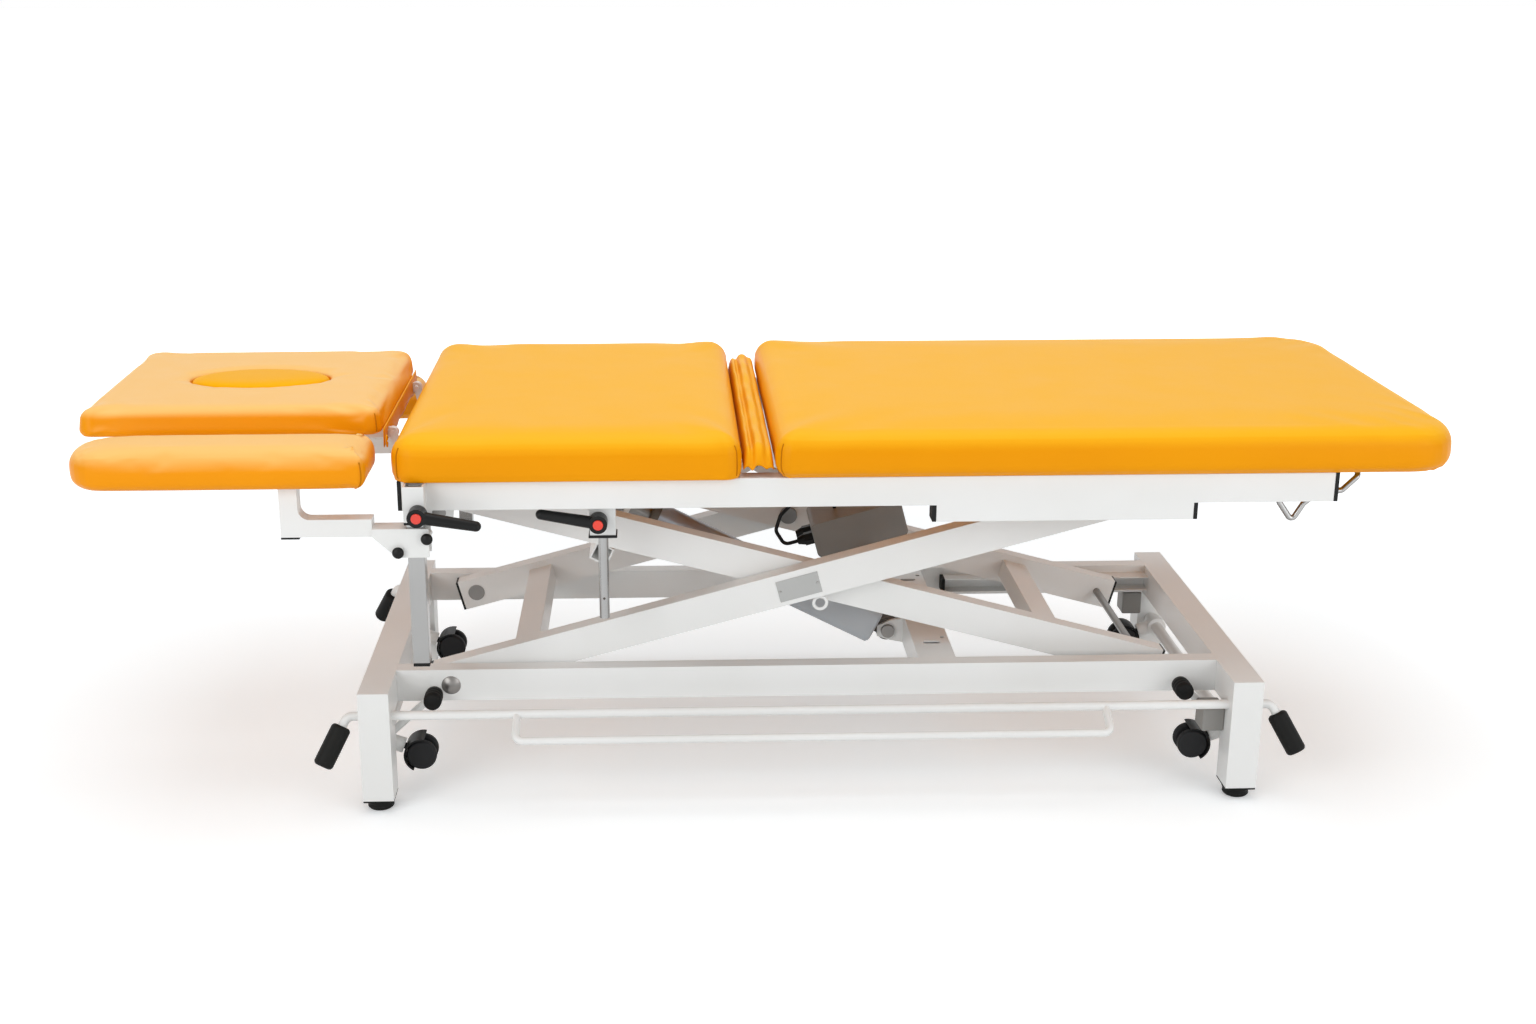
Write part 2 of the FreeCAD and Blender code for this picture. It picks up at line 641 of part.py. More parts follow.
def make_actuator():
    """Actuator: cast eye, gear housing with its motor cover, collar, guide tube and rod."""
    eye = y_rod(0, 0, -ACT_EYE_T / 2, ACT_EYE_T / 2, ACT_EYE_R * 2)
    neck = box(0, CASE_START, -ACT_EYE_T / 2, ACT_EYE_T / 2, -13, 13)
    rib = y_rod(0, 0, -ACT_EYE_T / 2, ACT_EYE_T / 2, ACT_EYE_R * 2 - 10)
    eye = eye.fuse([neck, rib]).cut(y_rod(0, 0, -50, 50, ACT_PIN_D + 2 * RUN_CLEARANCE))
    add("actuator_castings", [place_act(eye.removeSplitter())])

    case = box(CASE_START, CASE_START + CASE_L, -CASE_W / 2, CASE_W / 2, -CASE_H / 2, CASE_H / 2)
    long_edges = [e for e in case.Edges if abs(e.tangentAt(e.FirstParameter).x) > 0.9]
    case = case.makeFillet(14, long_edges)
    case = case.makeChamfer(4, [e for e in case.Edges if abs(e.CenterOfMass.x - CASE_START) < 0.01])
    x = CASE_START + CASE_L
    bore = rod(V(CASE_START + 20, 0, 0), V(x + 1, 0, 0), TUBE_BORE)
    add("actuator_housing", [place_act(case.cut(bore))])
    collar = rod(V(x, 0, 0), V(x + COLLAR_L, 0, 0), COLLAR_D)
    collar = collar.makeChamfer(3, [e for e in collar.Edges if e.Closed])
    cone = Part.makeCone(COLLAR_D / 2 - 4, TUBE_D / 2 + 3, 16, V(x + COLLAR_L, 0, 0), V(1, 0, 0))
    collar = collar.fuse(cone).cut(rod(V(x - 1, 0, 0), V(x + 60, 0, 0), TUBE_D))
    add("actuator_castings", [place_act(collar.removeSplitter())])
    tube = rod(V(x, 0, 0), V(TUBE_END, 0, 0), TUBE_D)
    tube = tube.cut(rod(V(x - 1, 0, 0), V(TUBE_END + 1, 0, 0), TUBE_BORE))
    add("actuator_tube", [place_act(tube)])
    nose = rod(V(TUBE_END, 0, 0), V(TUBE_END + 13, 0, 0), TUBE_D + 6)
    nose = nose.makeFillet(3, [e for e in nose.Edges if e.Closed and e.CenterOfMass.x > TUBE_END + 5])
    nose = nose.cut(rod(V(TUBE_END - 1, 0, 0), V(TUBE_END + 20, 0, 0), ROD_D + 2 * RUN_CLEARANCE))
    add("actuator_castings", [place_act(nose)])

    end = actuator_length()
    bar = rod(V(end - ROD_INSIDE, 0, 0), V(end - ROD_EYE_R + 4, 0, 0), ROD_D)
    ring = y_rod(end, 0, -ROD_EYE_T / 2, ROD_EYE_T / 2, ROD_EYE_R * 2)
    ring = ring.cut(y_rod(end, 0, -50, 50, ROD_PIN_D))
    add("actuator_rod", [place_act(bar.cut(y_rod(end, 0, -50, 50, ROD_EYE_R * 2)).fuse(ring).removeSplitter())])
    reach = ROD_EYE_T / 2 + GAP + ACT_LUG_T + 4
    add("actuator_rod", [place_act(y_rod(end, 0, -reach, reach, ROD_PIN_D))])


def make_control_box():
    """Control box on its strap between the outer arms, with connectors and a cable loop."""
    z0 = -BOX_H / 2 + BOX_LIFT
    case = box(BOX_AT, BOX_AT + BOX_L, -BOX_W / 2, BOX_W / 2, z0, z0 + BOX_H)
    case = case.makeFillet(BOX_R, [e for e in case.Edges if abs(e.tangentAt(e.FirstParameter).y) > 0.9])
    strap_x = BOX_AT + BOX_L / 2
    strap = box(strap_x - BOX_STRAP, strap_x + BOX_STRAP, -ARM_A_IN, ARM_A_IN, z0 - 3, z0)
    add("outer_arm_tubes", [place_a(strap)])
    connectors = []
    for y in (-24.0, 12.0):
        nut = Part.makePolygon([V(BOX_AT, y + CONNECTOR_D / 2 * math.cos(math.radians(60 * i)),
                                  BOX_LIFT + CONNECTOR_D / 2 * math.sin(math.radians(60 * i))) for i in range(7)])
        body = Part.Face(nut).extrude(V(-CONNECTOR_L * 0.55, 0, 0))
        cone = Part.makeCone(CONNECTOR_D * 0.42, CABLE_D / 2 + 2.5, CONNECTOR_L * 0.45,
                             V(BOX_AT - CONNECTOR_L * 0.55, y, BOX_LIFT), V(-1, 0, 0))
        connectors.append(body.fuse(cone).removeSplitter())
    add("control_cable", [place_a(c) for c in connectors])
    top = z0 + BOX_H
    start = V(BOX_AT - CONNECTOR_L, -24.0, BOX_LIFT)
    last = V(BOX_AT + 46, 6.0, top)
    points = [start, start + V(-22, 0, 0), V(BOX_AT - 56, -22, BOX_LIFT + 26), V(BOX_AT - 42, -16, top + 18),
              V(BOX_AT - 12, -8, top + 34), V(BOX_AT + 22, 0, top + 34), V(BOX_AT + 44, 5, top + 20), last]
    cable = bent_rod(points, CABLE_D, 11.0)
    add("control_box", [place_a(case)])
    add("control_cable", [place_a(cable)])


# Rollers
def make_rollers():
    """Two axles across the table, each with a roller in the channel at either side."""
    axle = y_rod(ROLLER_X, UPPER_PIVOT_Z, -RAIL_OUT + CHANNEL_WALL + 1, RAIL_OUT - CHANNEL_WALL - 1, AXLE_D)
    y0 = RAIL_OUT - CHANNEL_WALL - 2
    wheel = y_rod(ROLLER_X, UPPER_PIVOT_Z, -y0, -y0 + ROLLER_W, ROLLER_D)
    collar = y_rod(ROLLER_X, UPPER_PIVOT_Z, -ARM_A_OUT - 6, -ARM_A_OUT - GAP, AXLE_D + 8)
    add("upper_roller_axle", [axle.fuse(both_sides(wheel) + both_sides(collar)).removeSplitter()])
    y1 = RAIL_IN_BASE - CHANNEL_WALL - 1
    axle = y_rod(ROLLER_X, LOWER_PIVOT_Z, -y1, y1, AXLE_D)
    wheel = y_rod(ROLLER_X, LOWER_PIVOT_Z, -y1, -y1 + ROLLER_W, ROLLER_D)
    add("lower_roller_axle", [axle.fuse(both_sides(wheel)).removeSplitter()])


# Upper frame
def make_frame():
    """Side rails, cross tubes, roller channels, hangers, sleeves, posts and caps."""
    mid_z = (RAIL_Z0 + RAIL_Z1) / 2
    rail_y = -(RAIL_OUT - RAIL_T / 2)
    rail = tube_x(RAIL_X0 + RAIL_CAP_T, RAIL_X1 - RAIL_CAP_T, rail_y, mid_z, RAIL_T, RAIL_H, TUBE_WALL)
    add("side_rails", both_sides(rail))
    caps = []
    for x in (RAIL_X0, RAIL_X1 - RAIL_CAP_T):
        caps.extend(both_sides(box(x, x + RAIL_CAP_T, -RAIL_OUT, -RAIL_IN, RAIL_Z0, RAIL_Z1)))
    channel = make_channel(UPPER_CHANNEL_X0, UPPER_CHANNEL_X1, -RAIL_OUT, -RAIL_IN, UPPER_PIVOT_Z)
    add("side_rails", both_sides(channel))
    for cap in channel_caps(UPPER_CHANNEL_X0, UPPER_CHANNEL_X1, -RAIL_OUT, -RAIL_IN, UPPER_PIVOT_Z):
        caps.extend(both_sides(cap))

    tubes = [tube_y(-RAIL_IN, RAIL_IN, HINGE_CROSS_X, RAIL_Z0 + 18, FRAME_TUBE, FRAME_TUBE, TUBE_WALL),
             tube_y(-RAIL_IN, RAIL_IN, FOOT_CROSS_X, RAIL_Z0 + 18, FRAME_TUBE, FRAME_TUBE, TUBE_WALL),
             tube_y(-RAIL_IN, RAIL_IN, HEAD_CROSS_X, RAIL_Z0 + 3, HEAD_CROSS_W, FRAME_TUBE, 2)]
    add("frame_cross_tubes", tubes)

    hanger = plate([(PIVOT_X - 24, RAIL_Z1 - 6), (PIVOT_X + 24, RAIL_Z1 - 6), (PIVOT_X + 20, UPPER_PIVOT_Z - 12),
                    (PIVOT_X + 10, UPPER_PIVOT_Z - 18), (PIVOT_X - 10, UPPER_PIVOT_Z - 18),
                    (PIVOT_X - 20, UPPER_PIVOT_Z - 12)], -RAIL_IN, -RAIL_IN + HANGER_T)
    hanger = hanger.cut(y_rod(PIVOT_X, UPPER_PIVOT_Z, -400, 0, PIVOT_PIN_D))
    add("frame_brackets", both_sides(hanger))
    axle = y_rod(PIVOT_X, UPPER_PIVOT_Z, -RAIL_IN, RAIL_IN, PIVOT_PIN_D)
    add("frame_pins", [axle])

    hinge_z = RAIL_Z0 + 18
    ear = plate([(SECTION_AXIS_X - 6, SECTION_AXIS_Z - 6), (HINGE_CROSS_X - FRAME_TUBE / 2, hinge_z - 10),
                 (HINGE_CROSS_X - FRAME_TUBE / 2, hinge_z + 12), (SECTION_AXIS_X, SECTION_AXIS_Z + 6)],
                -SECTION_TUBE_Y - 26, -SECTION_TUBE_Y - 26 + HINGE_PLATE_T)
    knuckle = y_rod(SECTION_AXIS_X, SECTION_AXIS_Z, -SECTION_TUBE_Y - 26, -SECTION_TUBE_Y - 26 + HINGE_PLATE_T, 2 * KNUCKLE_R)
    ear = ear.fuse(knuckle).removeSplitter()
    ear = ear.cut(y_rod(SECTION_AXIS_X, SECTION_AXIS_Z, -400, 0, HINGE_PIN_D))
    pin = y_rod(SECTION_AXIS_X, SECTION_AXIS_Z, -SECTION_TUBE_Y - 27, -SECTION_TUBE_Y + 10, HINGE_PIN_D)
    add("frame_brackets", both_sides(ear))
    add("frame_pins", both_sides(pin))
    return caps


def make_sleeves(caps):
    """Armrest sleeves with their posts, the locking rod's sleeve, and the black bushes."""
    sleeve = tube_z(SLEEVE_Z0 + SLEEVE_BUSH_T, SLEEVE_Z1, POST_X, -POST_Y, SLEEVE, SLEEVE, (SLEEVE - POST) / 2)
    screw_hole = y_rod(LEVER1_X, LEVER1_Z, -POST_Y - SLEEVE, -POST_Y, LEVER_SCREW_D + 2 * RUN_CLEARANCE)
    add("frame_brackets", both_sides(sleeve.cut(screw_hole)))
    bush = tube_z(SLEEVE_Z0, SLEEVE_Z0 + SLEEVE_BUSH_T, POST_X, -POST_Y, SLEEVE, SLEEVE, (SLEEVE - POST) / 2)
    caps.extend(both_sides(bush))
    post = tube_z(POST_Z0, SLEEVE_Z1 - 4, POST_X, -POST_Y, POST, POST, POST_WALL)
    add("armrest_posts", both_sides(post))
    end = box(POST_X - POST / 2, POST_X + POST / 2, -POST_Y - POST / 2, -POST_Y + POST / 2, POST_Z0 - 5, POST_Z0)
    caps.extend(both_sides(end))

    y_mid = -RAIL_IN + LOCK_SLEEVE_T / 2
    block = box(LOCK_X - LOCK_SLEEVE_W / 2, LOCK_X + LOCK_SLEEVE_W / 2, -RAIL_IN, -RAIL_IN + LOCK_SLEEVE_T,
                LOCK_SLEEVE_Z0, RAIL_Z0 + 14)
    block = block.cut(rod(V(LOCK_X, LOCK_Y, 0), V(LOCK_X, LOCK_Y, 600), LOCK_ROD_D + 2 * GAP))
    block = block.cut(rod(V(LEVER2_X, -RAIL_IN - 1, LEVER2_Z), V(LEVER2_X, LOCK_Y, LEVER2_Z),
                          LEVER_SCREW_D + 2 * RUN_CLEARANCE))
    add("frame_brackets", [block])
    bush = box(LOCK_X - LOCK_SLEEVE_W / 2 - 2, LOCK_X + LOCK_SLEEVE_W / 2 + 2, -RAIL_IN - 2,
               -RAIL_IN + LOCK_SLEEVE_T + 2, LOCK_SLEEVE_Z0 - LOCK_BUSH_T, LOCK_SLEEVE_Z0)
    caps.append(bush.cut(rod(V(LOCK_X, LOCK_Y, 0), V(LOCK_X, LOCK_Y, 600), LOCK_ROD_D + 2 * RUN_CLEARANCE)))
    add("frame_caps", caps)


def make_roll_holder():
    """Bent wire under the foot end that holds a paper roll."""
    start = FOOT_CROSS_X - FRAME_TUBE / 2
    level = RAIL_Z0 + ROLL_LEVEL
    side = [V(start, -ROLL_Y, level), V(start - 21.5, -ROLL_Y, level)]
    side += [V(start + along, -ROLL_Y + inward, level + rise) for along, inward, rise in ROLL_STEPS]
    points = side + [V(p.x, -p.y, p.z) for p in reversed(side)]
    add("roll_holder", [bent_rod(points, ROLL_WIRE_D, 6.0)])


def make_cushions():
    """Long, middle and head pads, the face plug and the soft gusset."""
    long_pad = soft_block(LONG_X0, LONG_X1, -CUSHION_HALF_W, CUSHION_HALF_W, CUSHION_Z0,
                          CUSHION_Z0 + LONG_H, CUSHION_CORNER_R, FOOT_CORNER_R, CUSHION_EDGE_R)
    add("long_cushion", [long_pad])
    middle = soft_block(MIDDLE_X0, MIDDLE_X1, -CUSHION_HALF_W, CUSHION_HALF_W, CUSHION_Z0,
                        CUSHION_Z0 + MIDDLE_H, CUSHION_CORNER_R, CUSHION_CORNER_R, CUSHION_EDGE_R)
    add("middle_cushion", [middle])
    head = soft_block(HEAD_X0, HEAD_X1, -HEAD_HALF_W, HEAD_HALF_W, HEAD_BOTTOM, HEAD_BOTTOM + HEAD_H,
                      CUSHION_CORNER_R, CUSHION_CORNER_R, HEAD_EDGE_R)
    opening = oval(FACE_HALF_L + FACE_GAP, FACE_HALF_W + FACE_GAP, HEAD_BOTTOM - 5, HEAD_H + 10)
    add("head_cushion", [head.cut(opening)])
    plug = oval(FACE_HALF_L, FACE_HALF_W, HEAD_BOTTOM, FACE_PLUG_H)
    add("face_plug", [plug])
    x_mid = GUSSET_X
    half = GUSSET_W / 2
    seat = SECTION_AXIS_Z + KNUCKLE_R + SEAT
    fold = [(x_mid - half, seat), (x_mid + half, seat), (x_mid + half, GUSSET_TOP - 12),
            (x_mid, GUSSET_TOP), (x_mid - half, GUSSET_TOP - 12)]
    add("gusset", [plate(fold, -CUSHION_HALF_W + 28, CUSHION_HALF_W - 18)])


def oval(half_l, half_w, z0, height):
    """Upright oval block centred on the face opening, longer along X."""
    ellipse = Part.Ellipse(V(FACE_X, 0, z0), half_l, half_w)
    face = Part.Face(Part.Wire(ellipse.toShape()))
    return face.extrude(V(0, 0, height))


def make_section_frames():
    """Tube frames that carry the middle and head pads, with the head hinge."""
    z_mid = (SECTION_TUBE_Z0 + SECTION_TUBE_Z1) / 2
    side = tube_x(MIDDLE_X0 + 8, -34, -SECTION_TUBE_Y, z_mid, FRAME_TUBE, FRAME_TUBE, TUBE_WALL)
    inner = SECTION_TUBE_Y - FRAME_TUBE / 2
    cross_l = tube_y(-inner, inner, MIDDLE_X0 + 20.5, z_mid, FRAME_TUBE, FRAME_TUBE, TUBE_WALL)
    cross_r = tube_y(-inner, inner, -60, z_mid, FRAME_TUBE, FRAME_TUBE, TUBE_WALL)
    add("middle_frame", both_sides(side) + [cross_l, cross_r])

    knuckle_y0 = -SECTION_TUBE_Y - 26 + HINGE_PLATE_T + GAP
    arm = plate([(-34, SECTION_TUBE_Z0 + 2), (-34, SECTION_TUBE_Z1 - 2), (SECTION_AXIS_X, SECTION_AXIS_Z + 5.5),
                 (SECTION_AXIS_X, SECTION_AXIS_Z - 7)], knuckle_y0, knuckle_y0 + HINGE_PLATE_T)
    stay = box(-60, -34, knuckle_y0, -SECTION_TUBE_Y - FRAME_TUBE / 2, SECTION_TUBE_Z0 + 2, SECTION_TUBE_Z1 - 2)
    eye = y_rod(SECTION_AXIS_X, SECTION_AXIS_Z, knuckle_y0, knuckle_y0 + HINGE_PLATE_T, 13)
    leaf = arm.fuse([stay, eye]).removeSplitter()
    leaf = leaf.cut(y_rod(SECTION_AXIS_X, SECTION_AXIS_Z, -400, 0, HINGE_PIN_D + 2 * RUN_CLEARANCE))
    add("middle_frame", both_sides(leaf))

    outrigger = box(LOCK_X - 30, LOCK_X + 12, -SECTION_TUBE_Y - FRAME_TUBE / 2 - 40,
                    -SECTION_TUBE_Y - FRAME_TUBE / 2, SECTION_TUBE_Z1 - 4, SECTION_TUBE_Z1)
    y_plate = -SECTION_TUBE_Y - FRAME_TUBE / 2 - 40
    cheek = box(LOCK_X - LOCK_SLOT_BACK - 16, LOCK_X + 16, y_plate - 5, y_plate, SECTION_TUBE_Z0 - 9, SECTION_TUBE_Z1)
    half = LOCK_PIN_D / 2 + LOCK_SLOT_PLAY
    slot = box(LOCK_X - LOCK_SLOT_BACK - 5, LOCK_X + 6, y_plate - 6, y_plate + 1, LOCK_PIN_Z - half, LOCK_PIN_Z + half)
    add("middle_frame", [outrigger.fuse(cheek.cut(slot)).removeSplitter()])

    plate_y = -HEAD_TUBE_Y - 24
    stub = plate([(HEAD_AXIS_X - 6, HEAD_AXIS_Z), (HEAD_AXIS_X + 7.5, HEAD_AXIS_Z), (MIDDLE_X0 - 1, CUSHION_Z0 - 3),
                  (MIDDLE_X0 + 8, CUSHION_Z0 - 3), (MIDDLE_X0 + 8, SECTION_TUBE_Z0), (MIDDLE_X0 - 4, SECTION_TUBE_Z0)],
                 plate_y, plate_y + HINGE_PLATE_T)
    eye = y_rod(HEAD_AXIS_X, HEAD_AXIS_Z, plate_y, plate_y + HINGE_PLATE_T, HINGE_EYE_R * 2)
    stub = stub.fuse(eye).removeSplitter().cut(y_rod(HEAD_AXIS_X, HEAD_AXIS_Z, -400, 0, HINGE_PIN_D))
    add("middle_frame", both_sides(stub))
    pin = y_rod(HEAD_AXIS_X, HEAD_AXIS_Z, plate_y - 2, -HEAD_TUBE_Y - 4, HINGE_PIN_D)
    add("middle_frame", both_sides(pin))

    z_top = HEAD_BOTTOM - SEAT
    tube = tube_x(HEAD_X0 + 50, HEAD_AXIS_X - 36, -HEAD_TUBE_Y, z_top - HEAD_TUBE_H / 2, FRAME_TUBE, HEAD_TUBE_H, 2)
    inner = HEAD_TUBE_Y - FRAME_TUBE / 2
    bar_l = tube_y(-inner, inner, HEAD_X0 + 80, z_top - HEAD_TUBE_H / 2, FRAME_TUBE, HEAD_TUBE_H, 2)
    bar_r = tube_y(-inner, inner, HEAD_AXIS_X - 60, z_top - HEAD_TUBE_H / 2, FRAME_TUBE, HEAD_TUBE_H, 2)
    add("head_frame", both_sides(tube) + [bar_l, bar_r])
    leaf_y = plate_y + HINGE_PLATE_T + GAP
    leaf = plate([(HEAD_AXIS_X - 60, z_top), (HEAD_AXIS_X - 60, z_top - HEAD_TUBE_H), (HEAD_AXIS_X, HEAD_AXIS_Z - 8),
                  (HEAD_AXIS_X, z_top - 2)], leaf_y, leaf_y + HINGE_PLATE_T - 1)
    eye = y_rod(HEAD_AXIS_X, HEAD_AXIS_Z, leaf_y, leaf_y + HINGE_PLATE_T - 1, HINGE_EYE_R * 2)
    leaf = leaf.fuse(eye).removeSplitter()
    leaf = leaf.cut(y_rod(HEAD_AXIS_X, HEAD_AXIS_Z, -400, 0, HINGE_PIN_D + 2 * RUN_CLEARANCE))
    add("head_frame", both_sides(leaf))


def make_locking_rod():
    """Chrome rod that holds the middle section up, with its top pin and end hole."""
    bar = rod(V(LOCK_X, LOCK_Y, LOCK_ROD_Z0), V(LOCK_X, LOCK_Y, LOCK_ROD_TOP), LOCK_ROD_D)
    bar = bar.cut(rod(V(LOCK_X, LOCK_Y - 10, LOCK_ROD_Z0 + 32), V(LOCK_X, LOCK_Y + 10, LOCK_ROD_Z0 + 32), 4))
    pin = rod(V(LOCK_X, LOCK_Y, LOCK_PIN_Z), V(LOCK_X, -SECTION_TUBE_Y - FRAME_TUBE / 2 - 36, LOCK_PIN_Z), LOCK_PIN_D)
    add("locking_rod", [bar.fuse(pin).removeSplitter()])


def make_armrests():
    """Each armrest pad with its bent holder, its carriage on the post and its caps."""
    pad = box(ARMREST_X0, ARMREST_X1, -ARMREST_OUT, -ARMREST_IN, ARMREST_BOTTOM, ARMREST_BOTTOM + ARMREST_H)
    upright = [e for e in pad.Edges if abs(e.tangentAt(e.FirstParameter).z) > 0.9]
    round_end = [e for e in upright if e.CenterOfMass.x < ARMREST_X0 + 1]
    pad = pad.makeFillet((ARMREST_OUT - ARMREST_IN) / 2 - 3, round_end)
    square_end = [e for e in pad.Edges if abs(e.tangentAt(e.FirstParameter).z) > 0.9
                  and abs(e.CenterOfMass.x - ARMREST_X1) < 1]
    pad = pad.makeFillet(12, square_end)
    rims = [e for e in pad.Edges if abs(e.CenterOfMass.z - ARMREST_BOTTOM) < 0.01
            or abs(e.CenterOfMass.z - ARMREST_BOTTOM - ARMREST_H) < 0.01]
    pad = pad.makeFillet(11, rims)

    half = HOLDER_TUBE / 2
    leg = box(HOLDER_LEG_X - half, HOLDER_LEG_X + half, -POST_Y - half, -POST_Y + half,
              HOLDER_Z - half, ARMREST_BOTTOM - SEAT)
    beam = box(HOLDER_LEG_X + half, CARRIAGE_X0, -POST_Y - half, -POST_Y + half, HOLDER_Z - half, HOLDER_Z + half)
    web = plate([(HOLDER_LEG_X + half, HOLDER_Z + half), (HOLDER_LEG_X + half + 16, HOLDER_Z + half),
                 (HOLDER_LEG_X + half, HOLDER_Z + half + 16)], -POST_Y - half, -POST_Y + half)
    web = web.cut(y_rod(HOLDER_LEG_X + half + 16, HOLDER_Z + half + 16, -400, 0, 32))
    top_plate = box(HOLDER_LEG_X - 45, HOLDER_LEG_X + 45, -POST_Y - half, -POST_Y + half + 30,
                    ARMREST_BOTTOM - SEAT - 3, ARMREST_BOTTOM - SEAT)
    outline = [(CARRIAGE_X0, CARRIAGE_Z1), (CARRIAGE_X0, HOLDER_Z - half), (CARRIAGE_X0 + 34, CARRIAGE_Z0),
               (CARRIAGE_X1, CARRIAGE_Z0), (CARRIAGE_X1, CARRIAGE_Z1)]
    gap = POST / 2 + GAP
    near = plate(outline, -POST_Y - gap - CARRIAGE_PLATE, -POST_Y - gap)
    far = plate(outline, -POST_Y + gap, -POST_Y + gap + CARRIAGE_PLATE)
    block = box(CARRIAGE_X0, POST_X - gap, -POST_Y - gap, -POST_Y + gap, HOLDER_Z - half, CARRIAGE_Z1)
    holder = leg.fuse([beam, web, top_plate, near, far, block]).removeSplitter()

    domes = []
    for x, z in ((POST_X + gap + 5, CARRIAGE_Z1 - 14), (POST_X - gap - 12, CARRIAGE_Z0 + 9)):
        spindle = y_rod(x, z, -POST_Y - gap, -POST_Y + gap, 9)
        dome = y_rod(x, z, -POST_Y - gap - CARRIAGE_PLATE - 5, -POST_Y - gap - CARRIAGE_PLATE, DOME_D)
        dome = dome.makeFillet(4, [e for e in dome.Edges if e.Closed and e.CenterOfMass.y < -POST_Y - gap - 6])
        domes.extend([spindle, dome])
    add("front_armrest_pad", [pad])
    add("front_armrest_holder", [holder])
    add("front_armrest_holder", domes)
    drop = V(0, 0, -REAR_ARMREST_DROP)
    add("rear_armrest_pad", [mirror_y(pad).translated(drop)])
    add("rear_armrest_holder", [mirror_y(s).translated(drop) for s in [holder] + domes])


def clamp_lever(x, y_face, z, degrees, toward, reach):
    """Clamp lever whose screw enters a face at y_face, its arm pointing along +X times toward."""
    hub = y_rod(x, z, y_face - LEVER_HUB_H, y_face - GAP, LEVER_HUB_D)
    arm_y = y_face - LEVER_HUB_H + LEVER_ARM_D / 2
    end = x + toward * LEVER_LENGTH
    arm = Part.makeCone(LEVER_ARM_D / 2 + 1, LEVER_ARM_D / 2 - 1, LEVER_LENGTH,
                        V(x, arm_y, z), V(toward, 0, 0))
    tip = Part.makeSphere(LEVER_ARM_D / 2 - 1, V(end, arm_y, z))
    recess = y_rod(x, z, y_face - LEVER_HUB_H - 1, y_face - LEVER_HUB_H + BUTTON_TRAVEL + 4, BUTTON_D + 0.6)
    screw = y_rod(x, z, y_face - 8, y_face + reach, LEVER_SCREW_D)
    lever = hub.fuse([arm, tip]).cut(recess).fuse(screw).removeSplitter()
    button = y_rod(x, z, y_face - LEVER_HUB_H - 2.5, y_face - LEVER_HUB_H + 4, BUTTON_D)
    return tilt(lever, x, z, degrees), button


def make_levers():
    """Clamp levers of the armrest sleeves and of the locking rod."""
    face = -POST_Y - SLEEVE / 2
    lever, button = clamp_lever(LEVER1_X, face, LEVER1_Z, LEVER1_TILT, 1, (SLEEVE - POST) / 2 - SEAT)
    add("front_clamp_lever", [lever])
    add("front_clamp_button", [button])
    add("rear_clamp_lever", [mirror_y(lever)])
    add("rear_clamp_button", [mirror_y(button)])
    lever, button = clamp_lever(LEVER2_X, -RAIL_IN, LEVER2_Z, LEVER2_TILT, -1, LEVER2_REACH)
    add("section_clamp_lever", [lever])
    add("section_clamp_button", [button])


def make_foot_bars():
    """Front and rear control bars with their treads, grips and switch boxes."""
    x0 = BASE_X0 - BAR_STICKOUT
    x1 = BASE_X1 + BAR_STICKOUT
    out = V(-GRIP_OUT, -GRIP_FORWARD, -GRIP_DROP).normalize()
    left_end = V(x0, -BAR_Y, BAR_Z)
    right_out = V(-out.x, out.y, out.z)
    right_end = V(x1, -BAR_Y, BAR_Z)
    bar = bent_rod([left_end + out * (GRIP_L + 12), left_end, right_end, right_end + right_out * (GRIP_L + 12)],
                   BAR_D, BAR_BEND)
    tread = bent_rod([V(TREAD_X0, -BAR_Y, BAR_Z), V(TREAD_X0, -BAR_Y - TREAD_REACH, BAR_Z - TREAD_DROP),
                      V(TREAD_X1, -BAR_Y - TREAD_REACH, BAR_Z - TREAD_DROP), V(TREAD_X1, -BAR_Y, BAR_Z)],
                     TREAD_D, 12.0)
    tread = tread.cut(rod(V(x0, -BAR_Y, BAR_Z), V(x1, -BAR_Y, BAR_Z), BAR_D))
    grips = []
    for end, way in ((left_end, out), (right_end, right_out)):
        grip = rod(end + way * 16, end + way * (16 + GRIP_L), GRIP_D)
        grip = grip.makeFillet(6, [e for e in grip.Edges if e.Closed])
        grips.append(grip.cut(rod(end + way * 10, end + way * (GRIP_L + 12), BAR_D)))
    box_x1 = BASE_X1 - END_BEAM_W - SEAT
    switch = box(box_x1 - SWITCH_W, box_x1, -BAR_Y + BAR_D / 2 + 1, -BAR_Y + BAR_D / 2 + 1 + SWITCH_D,
                 BAR_Z - 48, BAR_Z - 48 + 40)
    switch = switch.makeFillet(3, switch.Edges)
    for side, flip in (("front", False), ("rear", True)):
        solids = [bar, tread]
        if flip:
            solids = [mirror_y(s, BASE_MID_Y) for s in solids]
            grips = [mirror_y(s, BASE_MID_Y) for s in grips]
        add("%s_foot_bar" % side, solids)
        add("%s_foot_bar_grips" % side, grips)
    add("switch_boxes", [switch, mirror_y(switch, BASE_MID_Y)])


